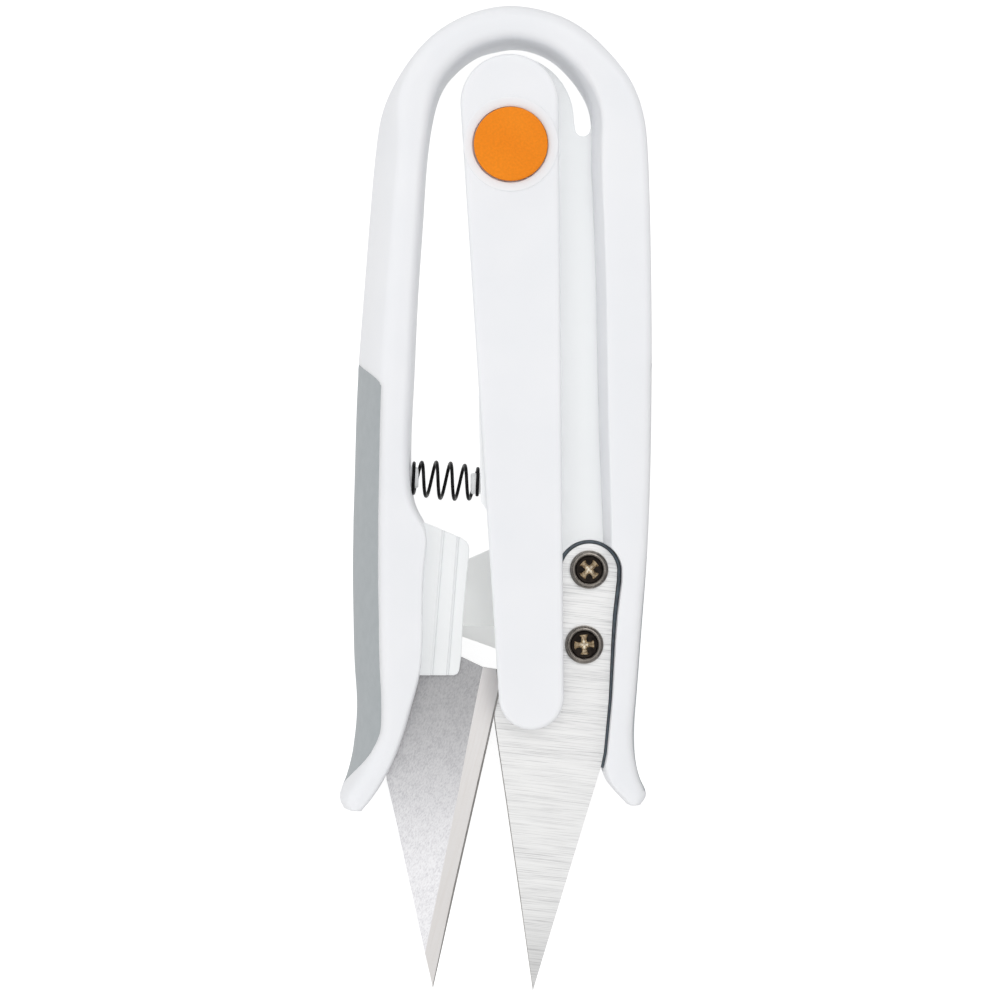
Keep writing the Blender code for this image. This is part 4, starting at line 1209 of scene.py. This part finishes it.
def bar_face(x, y):
    """Rise of the bar's face towards the foot of the collar."""
    reach = math.hypot(x - PIVOT[0], y - PIVOT[1])
    return COLLAR_FOOT[0] * (1.0 - smooth(COLLAR_R, COLLAR_FOOT[1], reach))


def collar():
    """The raised ring round the cap: a crest that dishes towards the cap."""
    root, top = BAR_Z[0] + COLLAR_ROOT, BAR_Z[1]
    profile = [
        (0.0, root), (COLLAR_R, root), (COLLAR_R, top), (COLLAR_R - COLLAR_CREST, top),
        (CAP_R, top - COLLAR_DISH), (0.0, top - COLLAR_DISH),
    ]
    return turned("collar", rounded(profile, (0.0, 0.1, 0.12, 0.1), 4), PIVOT, (), 160)


def make_bar():
    low, high = BAR_Z[0], BAR_Z[1] - COLLAR_H
    turns, low_r, high_r = quarter(5), BAR_LOW_EDGE_R, BAR_TOP_EDGE_R
    # Each row: inset from the outline, share of the way in to the middle line, height, and whether
    # it follows the face's rise at the collar.
    rows = [(0.0, 1.0, low, 0.0), (0.0, 0.5, low, 0.0)]
    rows += [(low_r * (1 - math.sin(a)), 0.0, low + low_r * (1 - math.cos(a)), 0.0) for a in turns]
    rows += [
        (high_r * (1 - math.cos(a)), 0.0, high - high_r * (1 - math.sin(a)), 1.0) for a in turns
    ]
    rows += [(high_r, k / 30, high, 1.0) for k in range(1, 31)]
    rays = bar_rays()
    data = bmesh.new()
    loops = []
    for inset, share, z, rise in rows:
        loop = []
        for cx, cy, angle, r in rays:
            reach = (r - inset) * (1.0 - share)
            x, y = cx + math.cos(angle) * reach, cy + math.sin(angle) * reach
            loop.append(data.verts.new((x, y, z + rise * bar_face(x, y))))
        loops.append(loop)
    join_loops(data, loops)
    bmesh.ops.remove_doubles(data, verts=data.verts, dist=1e-4)
    bar = new_object("guide_bar_shell", data, [WHITE])
    combine(bar, [collar()], "UNION")
    aside = (PIVOT[0] + CAP_GAP_ASIDE, PIVOT[1] + CAP_GAP_ASIDE)
    cuts = [
        turned("bore", cylinder(PIN_R + 0.1, 0.0, FAR), PIVOT),
        turned("counterbore", cylinder(PIN_HEAD_R + 0.2, PIN_HEAD_Z[0] - 0.1, FAR), PIVOT),
        turned("cap_seat", cylinder(CAP_R + CAP_GAP, CAP_Z[0] - 0.05, FAR), aside, (), 128),
    ]
    combine(bar, cuts, "DIFFERENCE")
    smoothed(bar)
    finish_piece(bar, "guide_bar", "white_plastic", "guide_bar")


def make_pivot():
    low, high = CAP_Z
    cap = rounded([(0.0, low), (CAP_R, low), (CAP_R, high), (0.0, high)], (0.1, 0.3), 6)
    cap = turned("orange_cap", cap, PIVOT, [ORANGE], 128)
    finish_piece(cap, "guide_bar", "orange_plastic", "pivot_cap")
    low, high = PIN_HEAD_Z
    pin = [
        (0.0, PIN_Z[0]), (PIN_R, PIN_Z[0]), (PIN_R, low), (PIN_HEAD_R, low), (PIN_HEAD_R, high),
        (0.0, high),
    ]
    pin = rounded(pin, (0.3, 0.05, 0.1, 0.15))
    finish_piece(turned("pin", pin, PIVOT, [PIN]), "fixed_side", "pin_steel", "pivot_pin")
    ease = RING_EASE
    for name, outer, inner, (low, high), made, slot in (
        ("washer", WASHER_R, PIN_R + 0.08, WASHER_Z, PIN, "pin_steel"),
        ("clip", CLIP_R, PIN_R + 0.04, CLIP_Z, SPRING, "spring_steel"),
    ):
        profile = [
            (inner, low), (outer - ease, low), (outer, low + ease), (outer, high - ease),
            (outer - ease, high), (inner, high),
        ]
        rings = [[(x, y, z) for x, y in circle(*PIVOT, r)] for r, z in profile]
        piece = lofted(name, rings, [made], closed=True)
        finish_piece(piece, "fixed_side", slot, f"pivot_{name}")


# ---------- return spring

def coil_point(turns, start, along, up, length):
    """Centre of the wire after so many turns, counted from the top of the first full coil."""
    first, last = SPRING_TURNS
    closed = 2.0 * WIRE_R * COIL_PITCH
    active_turns = last - first - sum(CLOSED_TURNS)
    active = min(max(turns - first - CLOSED_TURNS[0], 0.0), active_turns)
    flat = turns - first - active
    rise = flat * closed + active * (length - sum(CLOSED_TURNS) * closed) / active_turns
    share = min(max(rise / length, 0.0), 1.0)
    r = SPRING_R[0] + (SPRING_R[1] - SPRING_R[0]) * math.sin(math.pi * share) ** 0.7
    angle = 2.0 * math.pi * turns
    return start + along * rise + (up * math.cos(angle) + along.cross(up) * math.sin(angle)) * r


def make_spring():
    start, end = (Vector(place) for place in SPRING_ENDS)
    along = (end - start).normalized()
    up = Vector((0.0, 1.0, 0.0))
    up = (up - along * along.dot(up)).normalized()
    first, last = SPRING_TURNS
    steps = int((last - first) * WIRE_STEPS)
    length = (end - start).length
    places = [first + (last - first) * k / steps for k in range(steps + 1)]
    path = [coil_point(place, start, along, up, length) for place in places]

    def inwards_at(centre):
        return start + along * along.dot(centre - start) - centre

    rings = tube(path, WIRE_R, WIRE_SIDES, inwards_at)
    spring = lofted("coil_spring", rings, [SPRING])
    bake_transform(spring)
    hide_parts("return_spring")


# ---------- stage, light and view

def make_stage():
    floor = bpy.data.meshes.new("floor")
    half = FLOOR_HALF
    corners = [(-half, -half), (half, -half), (half, half), (-half, half)]
    ground = CAD_BOX[0].z - FLOOR_DROP
    floor.from_pydata([(x, y, ground) for x, y in corners], [], [(0, 1, 2, 3)])
    floor = bpy.data.objects.new("floor", floor)
    bpy.context.scene.collection.objects.link(floor)
    made, tree, shader = new_material("paper")
    grain = noise(tree, stretched(tree), 300.0, 3.0)
    colour = ramp(tree, grain, ((0.3, (0.52, 0.52, 0.52)), (0.7, (0.54, 0.54, 0.54))))
    join(tree, shader, Base_Color=colour, Roughness=0.9)
    join(tree, shader, Emission_Color=(1.0, 1.0, 1.0, 1.0), Emission_Strength=0.72)
    floor.data.materials.append(made)
    floor.visible_diffuse = False
    floor.visible_glossy = False
    floor.visible_shadow = False


def make_light():
    world = bpy.data.worlds.new("studio")
    bpy.context.scene.world = world
    world.use_nodes = True
    tree = world.node_tree
    sky = tree.nodes["Background"]
    way = add(tree, "TexCoord").outputs["Generated"]
    height = add(tree, "SeparateXYZ", {"Vector": way}).outputs["Z"]
    greys = ((0.0, 0.84), (0.46, 0.84), (0.6, 0.92), (0.8, 1.0), (1.0, 1.0))
    stops = [(place, (grey, grey, grey)) for place, grey in greys]
    inputs = {"Value": height, "From Min": -1.0, "From Max": 1.0, "To Min": 0.0, "To Max": 1.0}
    share = add(tree, "MapRange", inputs).outputs["Result"]
    tree.links.new(ramp(tree, share, stops), sky.inputs["Color"])
    inputs = {0: way, 1: SKY_LEAN}
    lean = add(tree, "VectorMath", inputs, operation="DOT_PRODUCT").outputs["Value"]
    inputs = {0: lean, 1: SKY_STRENGTH, 2: SKY_STRENGTH}
    strength = add(tree, "Math", inputs, operation="MULTIPLY_ADD").outputs["Value"]
    tree.links.new(strength, sky.inputs["Strength"])
    for name, (place, size, power) in LAMPS.items():
        lamp = bpy.data.lights.new(name, "AREA")
        lamp.shape = "DISK"
        lamp.size = size
        lamp.energy = power
        made = bpy.data.objects.new(name, lamp)
        made.location = place
        made.rotation_euler = (-Vector(place)).to_track_quat("-Z", "Y").to_euler()
        bpy.context.scene.collection.objects.link(made)
    bpy.context.scene.view_settings.view_transform = "Standard"


def make_camera():
    camera = bpy.data.objects.new("camera", bpy.data.cameras.new("camera"))
    bpy.context.scene.collection.objects.link(camera)
    bpy.context.scene.camera = camera
    middle = (CAD_BOX[0] + CAD_BOX[1]) / 2.0
    x, y = middle.x + CAMERA_ASIDE[0], middle.y + CAMERA_ASIDE[1]
    camera.location = (x, y, FOCUS_Z + CAMERA_UP)
    camera.data.sensor_width = SENSOR_WIDTH
    camera.data.lens = SENSOR_WIDTH * CAMERA_UP / VIEW_WIDTH
    camera.data.clip_start, camera.data.clip_end = CLIP


make_bow()
make_pads()
make_web()
make_block()
make_blades()
make_bar()
make_pivot()
make_spring()
make_stage()
make_light()
make_camera()
